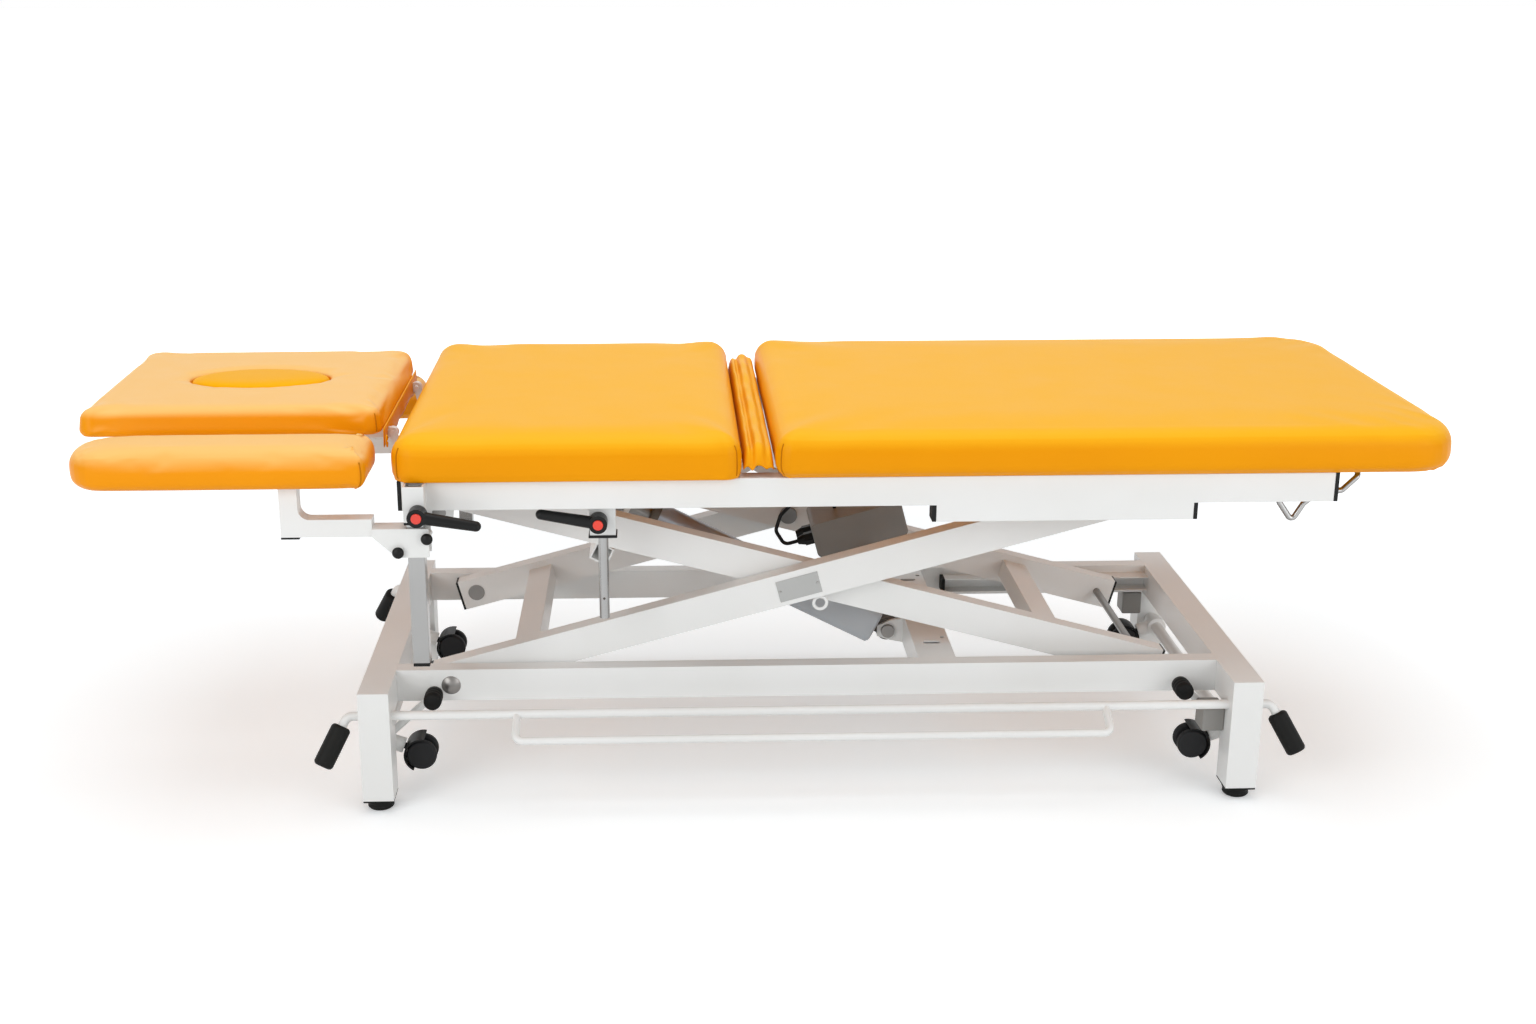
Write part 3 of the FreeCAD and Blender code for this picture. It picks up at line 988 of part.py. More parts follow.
def make_castors():
    """Two cross shafts with cranks and pedals, four swivelling twin-wheel castors."""
    shaft_x = BASE_X0 + END_BEAM_W / 2
    y_front = BASE_FRONT + LEG_DEPTH
    shaft = y_rod(shaft_x, CASTOR_SHAFT_Z, y_front - LEG_DEPTH / 2 + 2, 2 * BASE_MID_Y - y_front + LEG_DEPTH / 2 - 2,
                  CASTOR_SHAFT_D)
    y_mid = y_front + CASTOR_IN
    fold = math.radians(CASTOR_FOLD)
    way = V(math.sin(fold), 0, -math.cos(fold))
    centre = V(shaft_x, y_mid, CASTOR_SHAFT_Z)
    socket_top = centre + way * (CASTOR_ARM - WHEEL_D / 2 - 6 - SOCKET_H)
    socket = rod(centre, socket_top + way * SOCKET_H, SOCKET_D)
    socket = socket.cut(rod(socket_top, socket_top + way * (SOCKET_H + 1), STEM_D + 2 * RUN_CLEARANCE))
    pedal_way = V(math.cos(math.radians(PEDAL_ANGLE)), 0, math.sin(math.radians(PEDAL_ANGLE)))
    peg_root = centre + pedal_way * PEDAL_ARM
    arm = rod(centre, peg_root, 12)
    peg = rod(V(peg_root.x, y_mid + 4, peg_root.z), V(peg_root.x, y_mid - PEG_L, peg_root.z), PEG_D)
    hub = y_rod(shaft_x, CASTOR_SHAFT_Z, y_mid - 14, y_mid + 14, CASTOR_SHAFT_D + 12)
    carrier = hub.fuse(socket)
    crank = carrier.fuse([arm, peg, mirror_y(carrier, BASE_MID_Y), shaft]).removeSplitter()
    bore = rod(socket_top, socket_top + way * (SOCKET_H + 1), STEM_D + 2 * RUN_CLEARANCE)
    crank = crank.cut([bore, mirror_y(bore, BASE_MID_Y)])
    add("left_castor_shaft", [crank])
    add("right_castor_shaft", [mirror_x(crank, BASE_CX)])

    wheel_at = centre + way * CASTOR_ARM
    inner = WHEEL_GAP / 2
    stem = rod(socket_top + way * 2, wheel_at - way * (HOOD_R - 0.6), STEM_D)
    cheek = y_rod(wheel_at.x, wheel_at.z, y_mid - inner + GAP, y_mid + inner - GAP, 22)
    spine = rod(wheel_at - way * (HOOD_R + 0.3), wheel_at - way * 6, STEM_D - 2)
    hood = y_rod(wheel_at.x, wheel_at.z, y_mid - inner - WHEEL_W - 1, y_mid + inner + WHEEL_W + 1, 2 * HOOD_R + 2)
    hood = hood.cut(y_rod(wheel_at.x, wheel_at.z, y_mid - inner - WHEEL_W - 2, y_mid + inner + WHEEL_W + 2,
                          2 * HOOD_R + 2 - 2 * HOOD_WALL))
    cutter = Part.makeBox(200, 200, 100, V(-100, -100, 0))
    turn = FreeCAD.Rotation(V(0, 0, 1), way)
    cutter.Placement = FreeCAD.Placement(wheel_at - way * 4, turn)
    hood = hood.cut(cutter)
    fork = hood.fuse([stem, cheek, spine]).removeSplitter()
    fork = fork.cut(y_rod(wheel_at.x, wheel_at.z, y_mid - 60, y_mid + 60, WHEEL_AXLE_D + 2 * RUN_CLEARANCE))
    tyre = y_rod(wheel_at.x, wheel_at.z, y_mid - inner - WHEEL_W, y_mid - inner, WHEEL_D)
    tyre = tyre.makeChamfer(2.5, [e for e in tyre.Edges if e.Closed])
    other = y_rod(wheel_at.x, wheel_at.z, y_mid + inner, y_mid + inner + WHEEL_W, WHEEL_D)
    other = other.makeChamfer(2.5, [e for e in other.Edges if e.Closed])
    axle = y_rod(wheel_at.x, wheel_at.z, y_mid - inner - WHEEL_W, y_mid + inner + WHEEL_W, WHEEL_AXLE_D)
    wheels = tyre.fuse([other, axle]).removeSplitter()
    names = ("front_left", "front_right", "rear_left", "rear_right")
    for name, fork_solid, wheel_solid in zip(names, at_corners(fork), at_corners(wheels)):
        add("%s_castor" % name, [fork_solid])
        add("%s_castor_wheels" % name, [wheel_solid])


def main():
    """Build every sub-part and write its file."""
    os.makedirs("parts", exist_ok=True)
    save_base_caps(make_base())
    make_arms_a()
    make_arms_b()
    make_drive()
    make_actuator()
    make_control_box()
    make_rollers()
    make_sleeves(make_frame())
    make_roll_holder()
    make_cushions()
    make_section_frames()
    make_locking_rod()
    make_armrests()
    make_levers()
    make_foot_bars()
    make_castors()
    write_nodes()
    print("rest angle", REST_ANGLE, "roller x", ROLLER_X, "centre", CENTRE_X, CENTRE_Z)
    print("drive point", drive_point(), "actuator", actuator_angle(), actuator_length())


main()
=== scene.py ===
"""Looks of the treatment table: upholstery, finishes, small fittings, light and camera."""

import json
import logging
import math
from dataclasses import dataclass
from enum import Enum

import bmesh
import bpy
from mathutils import Matrix, Vector
from mathutils.bvhtree import BVHTree
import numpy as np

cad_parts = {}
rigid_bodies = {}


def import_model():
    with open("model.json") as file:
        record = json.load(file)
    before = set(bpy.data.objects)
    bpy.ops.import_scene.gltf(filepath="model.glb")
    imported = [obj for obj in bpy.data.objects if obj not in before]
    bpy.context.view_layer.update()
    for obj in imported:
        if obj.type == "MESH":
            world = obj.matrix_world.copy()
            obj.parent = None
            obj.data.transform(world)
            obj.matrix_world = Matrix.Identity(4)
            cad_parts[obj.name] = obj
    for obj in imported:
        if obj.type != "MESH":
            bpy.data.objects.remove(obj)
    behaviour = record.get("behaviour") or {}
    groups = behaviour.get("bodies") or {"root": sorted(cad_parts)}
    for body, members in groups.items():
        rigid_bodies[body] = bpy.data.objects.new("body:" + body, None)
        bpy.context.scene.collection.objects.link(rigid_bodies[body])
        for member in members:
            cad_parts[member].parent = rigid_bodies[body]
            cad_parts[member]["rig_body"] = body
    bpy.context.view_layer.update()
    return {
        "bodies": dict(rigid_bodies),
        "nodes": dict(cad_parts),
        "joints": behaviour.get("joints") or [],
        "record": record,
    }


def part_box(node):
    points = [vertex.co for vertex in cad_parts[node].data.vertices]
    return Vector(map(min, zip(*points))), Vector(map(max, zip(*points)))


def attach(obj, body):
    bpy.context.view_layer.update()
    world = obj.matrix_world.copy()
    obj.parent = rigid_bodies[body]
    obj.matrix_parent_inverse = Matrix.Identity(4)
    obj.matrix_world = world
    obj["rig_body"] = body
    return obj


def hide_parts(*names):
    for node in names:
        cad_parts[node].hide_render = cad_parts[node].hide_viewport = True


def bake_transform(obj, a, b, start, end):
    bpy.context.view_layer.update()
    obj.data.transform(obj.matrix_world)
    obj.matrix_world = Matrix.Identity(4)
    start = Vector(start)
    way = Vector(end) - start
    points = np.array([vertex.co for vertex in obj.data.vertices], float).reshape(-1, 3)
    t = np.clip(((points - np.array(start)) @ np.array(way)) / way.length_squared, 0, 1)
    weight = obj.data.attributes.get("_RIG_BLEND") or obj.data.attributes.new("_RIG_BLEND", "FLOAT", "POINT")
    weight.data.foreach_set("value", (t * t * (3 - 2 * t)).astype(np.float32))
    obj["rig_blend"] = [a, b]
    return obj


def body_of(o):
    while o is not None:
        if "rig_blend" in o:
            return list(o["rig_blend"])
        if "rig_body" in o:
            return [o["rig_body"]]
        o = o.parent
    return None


LOG = logging.getLogger("treatment_table")
SAME_POINT = 1e-6
ON_PLANE = 1e-5
SIDES = ("front", "rear")
Point = tuple[float, float, float]


class Relief(Enum):
    """Which pattern a finish carries in its surface."""

    SMOOTH = "smooth"
    ORANGE_PEEL = "orange_peel"
    VINYL = "vinyl"
    MOULDED = "moulded"
    DRAWN = "drawn"
    CAST = "cast"


@dataclass(frozen=True)
class Bump:
    """How fine and how deep a relief is: cells in a metre, octaves, metres and strength."""

    scale: float
    detail: float
    depth: float
    strength: float = 0.6


RELIEF_BUMP = {
    Relief.ORANGE_PEEL: Bump(420.0, 2.0, 0.00005),
    Relief.MOULDED: Bump(1300.0, 2.0, 0.00006),
    Relief.CAST: Bump(500.0, 6.0, 0.0003),
    Relief.DRAWN: Bump(90.0, 1.0, 0.00002),
}
VINYL_GRAIN = Bump(750.0, 0.0, 0.00012, 0.55)
VINYL_SLACK = Bump(7.0, 2.0, 0.004, 0.35)
COAT_ROUGHNESS = 0.12
TONE_STOPS = (0.32, 0.62)
TONE_DETAIL = 3.0
# Heights of the normal over which the painted top sheen fades in.
SHEEN_FACING = (0.15, 0.97)
GLOSS_SPREAD = 0.07
GLOSS_FINENESS = 4
GLOSS_DETAIL = 4.0


@dataclass(frozen=True)
class Finish:
    """One procedural surface: its colour, gloss and relief."""

    name: str
    colour: Point
    shade: Point
    roughness: float = 0.4
    metallic: float = 0.0
    coat: float = 0.0
    specular: float = 0.5
    relief: Relief = Relief.SMOOTH
    mottle: float = 5.0
    # Painted sheen: a paler colour on upward faces, standing in for light reflected off the tops.
    painted_sheen: Point | None = None

    def material(self) -> bpy.types.Material:
        """Make or reuse the finish's node material.

        Returns:
            The material. Its patterns lie on Object coordinates, and a painted top sheen follows the object's
            own normal.
        """
        label = self.name + "_surface"
        found = bpy.data.materials.get(label)
        if found:
            return found
        mat = bpy.data.materials.new(label)
        mat.use_nodes = True
        tree = mat.node_tree
        shader = tree.nodes["Principled BSDF"]
        shader.inputs["Metallic"].default_value = self.metallic
        shader.inputs["Coat Weight"].default_value = self.coat
        shader.inputs["Coat Roughness"].default_value = COAT_ROUGHNESS
        shader.inputs["Specular IOR Level"].default_value = self.specular
        coords = tree.nodes.new("ShaderNodeTexCoord").outputs["Object"]
        self._tone(tree, shader, coords)
        self._gloss(tree, shader, coords)
        self._relief(tree, shader, coords)
        return mat

    def _noise(self, tree: bpy.types.NodeTree, coords: bpy.types.NodeSocket, scale: float,
               detail: float) -> bpy.types.NodeSocket:
        """Add a noise pattern.

        Args:
            tree: The material's node tree.
            coords: The coordinates that the pattern follows.
            scale: Cells in a metre.
            detail: Octaves of finer noise.

        Returns:
            The pattern's value.
        """
        node = tree.nodes.new("ShaderNodeTexNoise")
        node.inputs["Scale"].default_value = scale
        node.inputs["Detail"].default_value = detail
        tree.links.new(coords, node.inputs["Vector"])
        return node.outputs["Fac"]

    def _tone(self, tree: bpy.types.NodeTree, shader: bpy.types.Node, coords: bpy.types.NodeSocket) -> None:
        """Blend the colour and its shade in slow, soft patches, then lay any painted top sheen over them.

        Args:
            tree: The material's node tree.
            shader: The surface shader.
            coords: The coordinates that the pattern follows.
        """
        ramp = tree.nodes.new("ShaderNodeValToRGB")
        for stop, at, tint in zip(ramp.color_ramp.elements, TONE_STOPS, (self.shade, self.colour)):
            stop.position = at
            stop.color = (*tint, 1.0)
        tree.links.new(self._noise(tree, coords, self.mottle, TONE_DETAIL), ramp.inputs["Fac"])
        tone = ramp.outputs["Color"]
        # Painted sheen: upward faces take a paler colour in place of reflected light.
        if self.painted_sheen is not None:
            tone = self._paint_top_sheen(tree, tone)
        tree.links.new(tone, shader.inputs["Base Color"])

    def _paint_top_sheen(self, tree: bpy.types.NodeTree, tone: bpy.types.NodeSocket) -> bpy.types.NodeSocket:
        """Paint a sheen on the faces that look up, to match how light the photo shows the cushions' tops.

        This is a look taken from the photo, not a known property of the cover.

        Args:
            tree: The material's node tree.
            tone: The colour of the other faces.

        Returns:
            The blended colour.
        """
        split = tree.nodes.new("ShaderNodeSeparateXYZ")
        tree.links.new(tree.nodes.new("ShaderNodeTexCoord").outputs["Normal"], split.inputs[0])
        facing = tree.nodes.new("ShaderNodeMapRange")
        facing.interpolation_type = "SMOOTHSTEP"
        facing.inputs["From Min"].default_value = SHEEN_FACING[0]
        facing.inputs["From Max"].default_value = SHEEN_FACING[1]
        tree.links.new(split.outputs["Z"], facing.inputs["Value"])
        blend = tree.nodes.new("ShaderNodeMix")
        blend.data_type = "RGBA"
        blend.inputs["B"].default_value = (*self.painted_sheen, 1.0)
        tree.links.new(facing.outputs["Result"], blend.inputs["Factor"])
        tree.links.new(tone, blend.inputs["A"])
        return blend.outputs["Result"]

    def _gloss(self, tree: bpy.types.NodeTree, shader: bpy.types.Node, coords: bpy.types.NodeSocket) -> None:
        """Vary the roughness a little, as handled surfaces do.

        Args:
            tree: The material's node tree.
            shader: The surface shader.
            coords: The coordinates that the pattern follows.
        """
        spread = tree.nodes.new("ShaderNodeMapRange")
        spread.inputs["To Min"].default_value = max(0.02, self.roughness - GLOSS_SPREAD)
        spread.inputs["To Max"].default_value = min(1.0, self.roughness + GLOSS_SPREAD)
        fine = self._noise(tree, coords, self.mottle * GLOSS_FINENESS, GLOSS_DETAIL)
        tree.links.new(fine, spread.inputs["Value"])
        tree.links.new(spread.outputs["Result"], shader.inputs["Roughness"])

    def _relief(self, tree: bpy.types.NodeTree, shader: bpy.types.Node, coords: bpy.types.NodeSocket) -> None:
        """Raise the fine relief that this kind of surface has.

        Args:
            tree: The material's node tree.
            shader: The surface shader.
            coords: The coordinates that the pattern follows.
        """
        if self.relief is Relief.SMOOTH:
            return
        bump = tree.nodes.new("ShaderNodeBump")
        tree.links.new(bump.outputs["Normal"], shader.inputs["Normal"])
        if self.relief is Relief.VINYL:
            grain = tree.nodes.new("ShaderNodeTexVoronoi")
            grain.feature = "DISTANCE_TO_EDGE"
            grain.inputs["Scale"].default_value = VINYL_GRAIN.scale
            tree.links.new(coords, grain.inputs["Vector"])
            bump.inputs["Distance"].default_value = VINYL_GRAIN.depth
            bump.inputs["Strength"].default_value = VINYL_GRAIN.strength
            tree.links.new(grain.outputs["Distance"], bump.inputs["Height"])
            slack = tree.nodes.new("ShaderNodeBump")
            slack.inputs["Distance"].default_value = VINYL_SLACK.depth
            slack.inputs["Strength"].default_value = VINYL_SLACK.strength
            tree.links.new(self._noise(tree, coords, VINYL_SLACK.scale, VINYL_SLACK.detail),
                           slack.inputs["Height"])
            tree.links.new(slack.outputs["Normal"], bump.inputs["Normal"])
            return
        fine = RELIEF_BUMP[self.relief]
        bump.inputs["Distance"].default_value = fine.depth
        bump.inputs["Strength"].default_value = fine.strength
        tree.links.new(self._noise(tree, coords, fine.scale, fine.detail), bump.inputs["Height"])


WHITE_COAT = Finish("white_powder_coat", (0.81, 0.805, 0.79), (0.775, 0.77, 0.75), 0.36, coat=0.1,
                    relief=Relief.ORANGE_PEEL)
# The last colour of these two vinyls is a painted sheen on their upward faces.
VINYL = Finish("amber_vinyl", (0.86, 0.325, 0.001), (0.84, 0.305, 0.001), 0.40, specular=0.08,
               relief=Relief.VINYL, mottle=3.0, painted_sheen=(0.97, 0.475, 0.012))
PALE_VINYL = Finish("sheen_painted_vinyl", (0.88, 0.31, 0.001), (0.86, 0.295, 0.001), 0.38, specular=0.12,
                    relief=Relief.VINYL, mottle=6.0, painted_sheen=(0.97, 0.56, 0.17))
BRIGHT_VINYL = Finish("plug_vinyl", (0.97, 0.46, 0.002), (0.95, 0.44, 0.002), 0.42, specular=0.05,
                      relief=Relief.VINYL, mottle=3.0)
# The welts' colour, darker than the cover, is painted shade for the crease along each seam.
SEAM_CREASE_SHADE = Finish("seam_painted_shade", (0.58, 0.20, 0.003), (0.50, 0.17, 0.003), 0.7, specular=0.05,
                relief=Relief.MOULDED)
BLACK_PLASTIC = Finish("black_plastic", (0.009, 0.009, 0.009), (0.007, 0.007, 0.007), 0.36, specular=0.18,
                       relief=Relief.MOULDED)
BLACK_RUBBER = Finish("black_rubber", (0.008, 0.008, 0.008), (0.011, 0.011, 0.010), 0.55, specular=0.12,
                      relief=Relief.MOULDED)
CHROME = Finish("chrome_plate", (0.38, 0.375, 0.37), (0.33, 0.325, 0.32), 0.20, metallic=1.0,
                relief=Relief.DRAWN)
ZINC = Finish("zinc_steel", (0.27, 0.26, 0.25), (0.21, 0.20, 0.19), 0.38, metallic=1.0, relief=Relief.DRAWN)
BLUE_GREY = Finish("actuator_paint", (0.50, 0.53, 0.56), (0.45, 0.48, 0.51), 0.42, coat=0.1,
                   relief=Relief.ORANGE_PEEL)
SILVER_TUBE = Finish("actuator_tube_metal", (0.42, 0.45, 0.50), (0.36, 0.39, 0.43), 0.30, metallic=0.85,
                     relief=Relief.DRAWN)
CASTING = Finish("dark_casting", (0.13, 0.12, 0.105), (0.09, 0.083, 0.075), 0.6, metallic=0.4,
                 relief=Relief.CAST)
BOX_PLASTIC = Finish("box_plastic", (0.25, 0.24, 0.225), (0.21, 0.20, 0.185), 0.5, relief=Relief.MOULDED)
LIGHT_GREY = Finish("light_grey_plastic", (0.42, 0.44, 0.46), (0.36, 0.38, 0.40), 0.42, relief=Relief.MOULDED)
RED_BUTTON = Finish("red_button", (0.80, 0.035, 0.010), (0.70, 0.025, 0.008), 0.30, coat=0.3)
TYRE_GREY = Finish("tyre_tread", (0.022, 0.022, 0.023), (0.017, 0.017, 0.018), 0.6, specular=0.15,
                   relief=Relief.MOULDED)
PLATE = Finish("bare_label_plate", (0.42, 0.42, 0.41), (0.38, 0.38, 0.37), 0.42, metallic=0.5,
               relief=Relief.DRAWN)

SLOT_FINISH = {
    "white_coat": WHITE_COAT, "amber_vinyl": VINYL, "bright_vinyl": BRIGHT_VINYL,
    "black_plastic": BLACK_PLASTIC, "black_rubber": BLACK_RUBBER, "chrome": CHROME, "zinc": ZINC,
    "blue_grey": BLUE_GREY,
    "silver_tube": SILVER_TUBE, "cast_grey": CASTING, "box_grey": BOX_PLASTIC, "light_grey": LIGHT_GREY,
    "red_plastic": RED_BUTTON, "tyre_grey": TYRE_GREY,
}


def add_piece(name: str, bm: bmesh.types.BMesh, finish: Finish, body: str | None,
              smooth: bool = True) -> bpy.types.Object:
    """Turn a finished bmesh into a piece that rides on a body.

    Args:
        name: The piece's name.
        bm: The mesh, already in place in metres; it is freed here.
        finish: The finish of all its faces.
        body: The CAD body that it moves with, or None for a piece that is blended between two.
        smooth: Whether faces are shaded smooth.

    Returns:
        The new object.
    """
    bmesh.ops.recalc_face_normals(bm, faces=bm.faces)
    for face in bm.faces:
        face.smooth = smooth
    mesh = bpy.data.meshes.new(name)
    bm.to_mesh(mesh)
    bm.free()
    mesh.materials.append(finish.material())
    piece = bpy.data.objects.new(name, mesh)
    bpy.context.scene.collection.objects.link(piece)
    if body is not None:
        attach(piece, body)
    LOG.info("%s: %d faces on %s", name, len(mesh.polygons), body)
    return piece


def tube_mesh(points: list[Vector], radius: float, sides: int = 10) -> bmesh.types.BMesh:
    """Sweep a small round section along a polyline by extruding it station by station.

    Args:
        points: The line's points in metres.
        radius: The tube's radius.
        sides: Sides of the section.

    Returns:
        The closed tube.
    """
    bm = bmesh.new()
    way = (points[1] - points[0]).normalized()
    turn = way.to_track_quat("Z", "Y").to_matrix().to_4x4()
    ring = bmesh.ops.create_circle(bm, cap_ends=True, segments=sides, radius=radius,
                                   matrix=Matrix.Translation(points[0]) @ turn)["verts"]
    face = next(iter(bm.faces))
    for i in range(1, len(points)):
        made = bmesh.ops.extrude_discrete_faces(bm, faces=[face])["faces"]
        face = made[0]
        ahead = points[min(i + 1, len(points) - 1)]
        new_way = (ahead - points[i - 1]).normalized()
        swing = way.rotation_difference(new_way).to_matrix()
        here = points[i - 1]
        bmesh.ops.rotate(bm, cent=here, matrix=swing, verts=face.verts)
        bmesh.ops.translate(bm, vec=points[i] - here, verts=face.verts)
        way = new_way
    bmesh.ops.remove_doubles(bm, verts=bm.verts, dist=SAME_POINT)
    return bm


def corners(node: str) -> tuple[Vector, Vector]:
    """Lowest and highest corner of a CAD solid.

    Args:
        node: The solid's node.

    Returns:
        The two corners in metres.
    """
    low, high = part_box(node)
    return Vector(low), Vector(high)


def drawn_strip(profile: list[Point], length: float, count: int) -> bmesh.types.BMesh:
    """Draw an open line along Y into a strip of even rows.

    Args:
        profile: The line's points.
        length: The strip's length along Y.
        count: How many rows it gets.

    Returns:
        The strip.
    """
    bm = bmesh.new()
    line = [bm.verts.new(point) for point in profile]
    edges = [bm.edges.new(pair) for pair in zip(line, line[1:])]
    for _ in range(count):
        made = bmesh.ops.extrude_edge_only(bm, edges=edges)["geom"]
        verts = [g for g in made if isinstance(g, bmesh.types.BMVert)]
        bmesh.ops.translate(bm, vec=(0.0, length / count, 0.0), verts=verts)
        edges = [g for g in made if isinstance(g, bmesh.types.BMEdge)
                 and abs(g.verts[0].co.y - g.verts[1].co.y) < SAME_POINT]
    return bm


@dataclass(frozen=True)
class Cover:
    """How the stretched vinyl behaves in Cloth."""

    quality: int = 5
    mass: float = 0.3
    stiffness: float = 20.0
    bending: float = 1.0
    frames: int = 20


@dataclass
class Pad:
    """An upholstered cushion: foam on a board, covered in stretched vinyl."""

    name: str
    node: str
    body: str
    finish: Finish
    slot: str = "amber_vinyl"
    left_corner: float = 0.030
    right_corner: float = 0.030
    edge: float = 0.022
    under_edge: float = 0.012
    cell: float = 0.012
    shrink: float = 0.003
    swell: float = 0.005
    pressure: float = 4.0
    fill: float = 0.9
    corner_steps: int = 8
    edge_steps: int = 6
    under_steps: int = 4
    sliver: float = 0.0015
    board: float = 0.001
    cover: Cover = Cover()

    def _blank(self) -> bmesh.types.BMesh:
        """Block with rounded plan corners and rolled edges, cut into an even grid.

        Returns:
            The closed block, a little smaller than the cushion.
        """
        low, high = corners(self.node)
        inset = Vector((self.shrink, self.shrink, 0.0))
        low = low + inset
        high = high - inset - Vector((0.0, 0.0, self.shrink))
        size = high - low
        bm = bmesh.new()
        bmesh.ops.create_cube(bm, size=1.0, matrix=Matrix.Translation((low + high) / 2)
                              @ Matrix.Diagonal((*size, 1.0)))
        for at_left, radius in ((True, self.left_corner), (False, self.right_corner)):
            edges = [e for e in bm.edges if abs(e.verts[0].co.z - e.verts[1].co.z) > size.z * 0.9
                     and (e.verts[0].co.x < (low.x + high.x) / 2) is at_left]
            bmesh.ops.bevel(bm, geom=edges, offset=radius, affect="EDGES", segments=self.corner_steps,
                            profile=0.5, material=-1)
        for height, radius, count in ((high.z, self.edge, self.edge_steps),
                                      (low.z, self.under_edge, self.under_steps)):
            edges = [e for e in bm.edges if all(abs(v.co.z - height) < ON_PLANE for v in e.verts)]
            bmesh.ops.bevel(bm, geom=edges, offset=radius, affect="EDGES", segments=count, profile=0.5,
                            material=-1)
        for axis in range(3):
            count = max(2, round(size[axis] / self.cell))
            for i in range(1, count):
                spot = Vector((low + high) / 2)
                spot[axis] = low[axis] + size[axis] * i / count
                normal = Vector((0.0, 0.0, 0.0))
                normal[axis] = 1.0
                bmesh.ops.bisect_plane(bm, geom=bm.verts[:] + bm.edges[:] + bm.faces[:], dist=ON_PLANE,
                                       plane_co=spot, plane_no=normal)
        bmesh.ops.remove_doubles(bm, verts=bm.verts, dist=self.sliver)
        return bm

    def _pinned(self, floor: float, co: Vector) -> bool:
        """Whether a point is held by the board, which is the flat underside.

        Args:
            floor: Height of the underside.
            co: The point.

        Returns:
            True where it is held.
        """
        return co.z < floor + self.board

    def _carve(self, bm: bmesh.types.BMesh) -> None:
        """Cut what the cushion leaves open; a plain cushion leaves nothing.

        Args:
            bm: The cushion's grid.
        """

    def _swell(self, piece: bpy.types.Object) -> None:
        """Blow the cover up with Cloth, hold it at the board and cap how far it moves.

        Args:
            piece: The cushion, whose mesh takes the result.
        """
        floor = corners(self.node)[0].z
        mesh = piece.data
        start = [v.co.copy() for v in mesh.vertices]
        held = piece.vertex_groups.new(name="board")
        held.add([i for i, co in enumerate(start) if self._pinned(floor, co)], 1.0, "ADD")
        cloth = piece.modifiers.new("cover", "CLOTH")
        cloth.settings.quality = self.cover.quality
        cloth.settings.mass = self.cover.mass
        cloth.settings.tension_stiffness = self.cover.stiffness
        cloth.settings.compression_stiffness = self.cover.stiffness
        cloth.settings.bending_stiffness = self.cover.bending
        cloth.settings.use_pressure = True
        cloth.settings.uniform_pressure_force = self.pressure
        cloth.settings.vertex_group_mass = "board"
        cloth.settings.effector_weights.gravity = 0.0
        cloth.collision_settings.use_collision = False
        cloth.point_cache.frame_start = 1
        cloth.point_cache.frame_end = self.cover.frames
        scene = bpy.context.scene
        for frame in range(1, self.cover.frames + 1):
            scene.frame_set(frame)
        shaped = piece.evaluated_get(bpy.context.evaluated_depsgraph_get()).data
        moved = [v.co.copy() for v in shaped.vertices]
        piece.modifiers.remove(cloth)
        scene.frame_set(1)
        for vertex, before, after in zip(mesh.vertices, start, moved):
            step = after - before
            if step.length > self.swell:
                step *= self.swell / step.length
            vertex.co = before + step
        piece.vertex_groups.remove(held)

    def build(self) -> bpy.types.Object:
        """Make the cushion in place of its CAD solid.

        Returns:
            The finished cushion.
        """
        bm = self._blank()
        self._carve(bm)
        piece = add_piece(self.name, bm, self.finish, self.body)
        self._swell(piece)
        smooth = piece.modifiers.new("roundness", "SUBSURF")
        smooth.levels = smooth.render_levels = 1
        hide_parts(self.node)
        return piece


@dataclass
class HeadPad(Pad):
    """Head cushion with the oval face opening right through it."""

    plug_node: str = "face_plug"
    lip: float = 0.0012
    wall_cuts: int = 4
    wall_share: float = 1.02

    def _reach(self, co: Vector) -> float:
        """How far out a point lies.

        Args:
            co: The point.

        Returns:
            Its distance from the middle, as a share of the opening's oval.
        """
        low, high = corners(self.plug_node)
        mid = (low + high) / 2
        half = (high - low) / 2
        return math.hypot((co.x - mid.x) / (half.x + self.lip), (co.y - mid.y) / (half.y + self.lip))

    def _pinned(self, floor: float, co: Vector) -> bool:
        """Whether a point is held, which the opening's wall is too.

        Args:
            floor: Height of the underside.
            co: The point.

        Returns:
            True where it is held.
        """
        return super()._pinned(floor, co) or self._reach(co) < self.wall_share

    def _carve(self, bm: bmesh.types.BMesh) -> None:
        """Open the oval: drop the faces inside it, draw the rims to it and wall them together.

        Args:
            bm: The cushion's grid.
        """
        low, high = corners(self.plug_node)
        mid = (low + high) / 2
        inside = [f for f in bm.faces if self._reach(f.calc_center_median()) < 1.0]
        bmesh.ops.delete(bm, geom=inside, context="FACES")
        rims = [e for e in bm.edges if e.is_boundary]
        for vertex in {v for e in rims for v in e.verts}:
            share = self._reach(vertex.co)
            vertex.co.x = mid.x + (vertex.co.x - mid.x) / share
            vertex.co.y = mid.y + (vertex.co.y - mid.y) / share
        walls = bmesh.ops.bridge_loops(bm, edges=rims)["edges"]
        bmesh.ops.subdivide_edges(bm, edges=walls, cuts=self.wall_cuts, use_grid_fill=True)


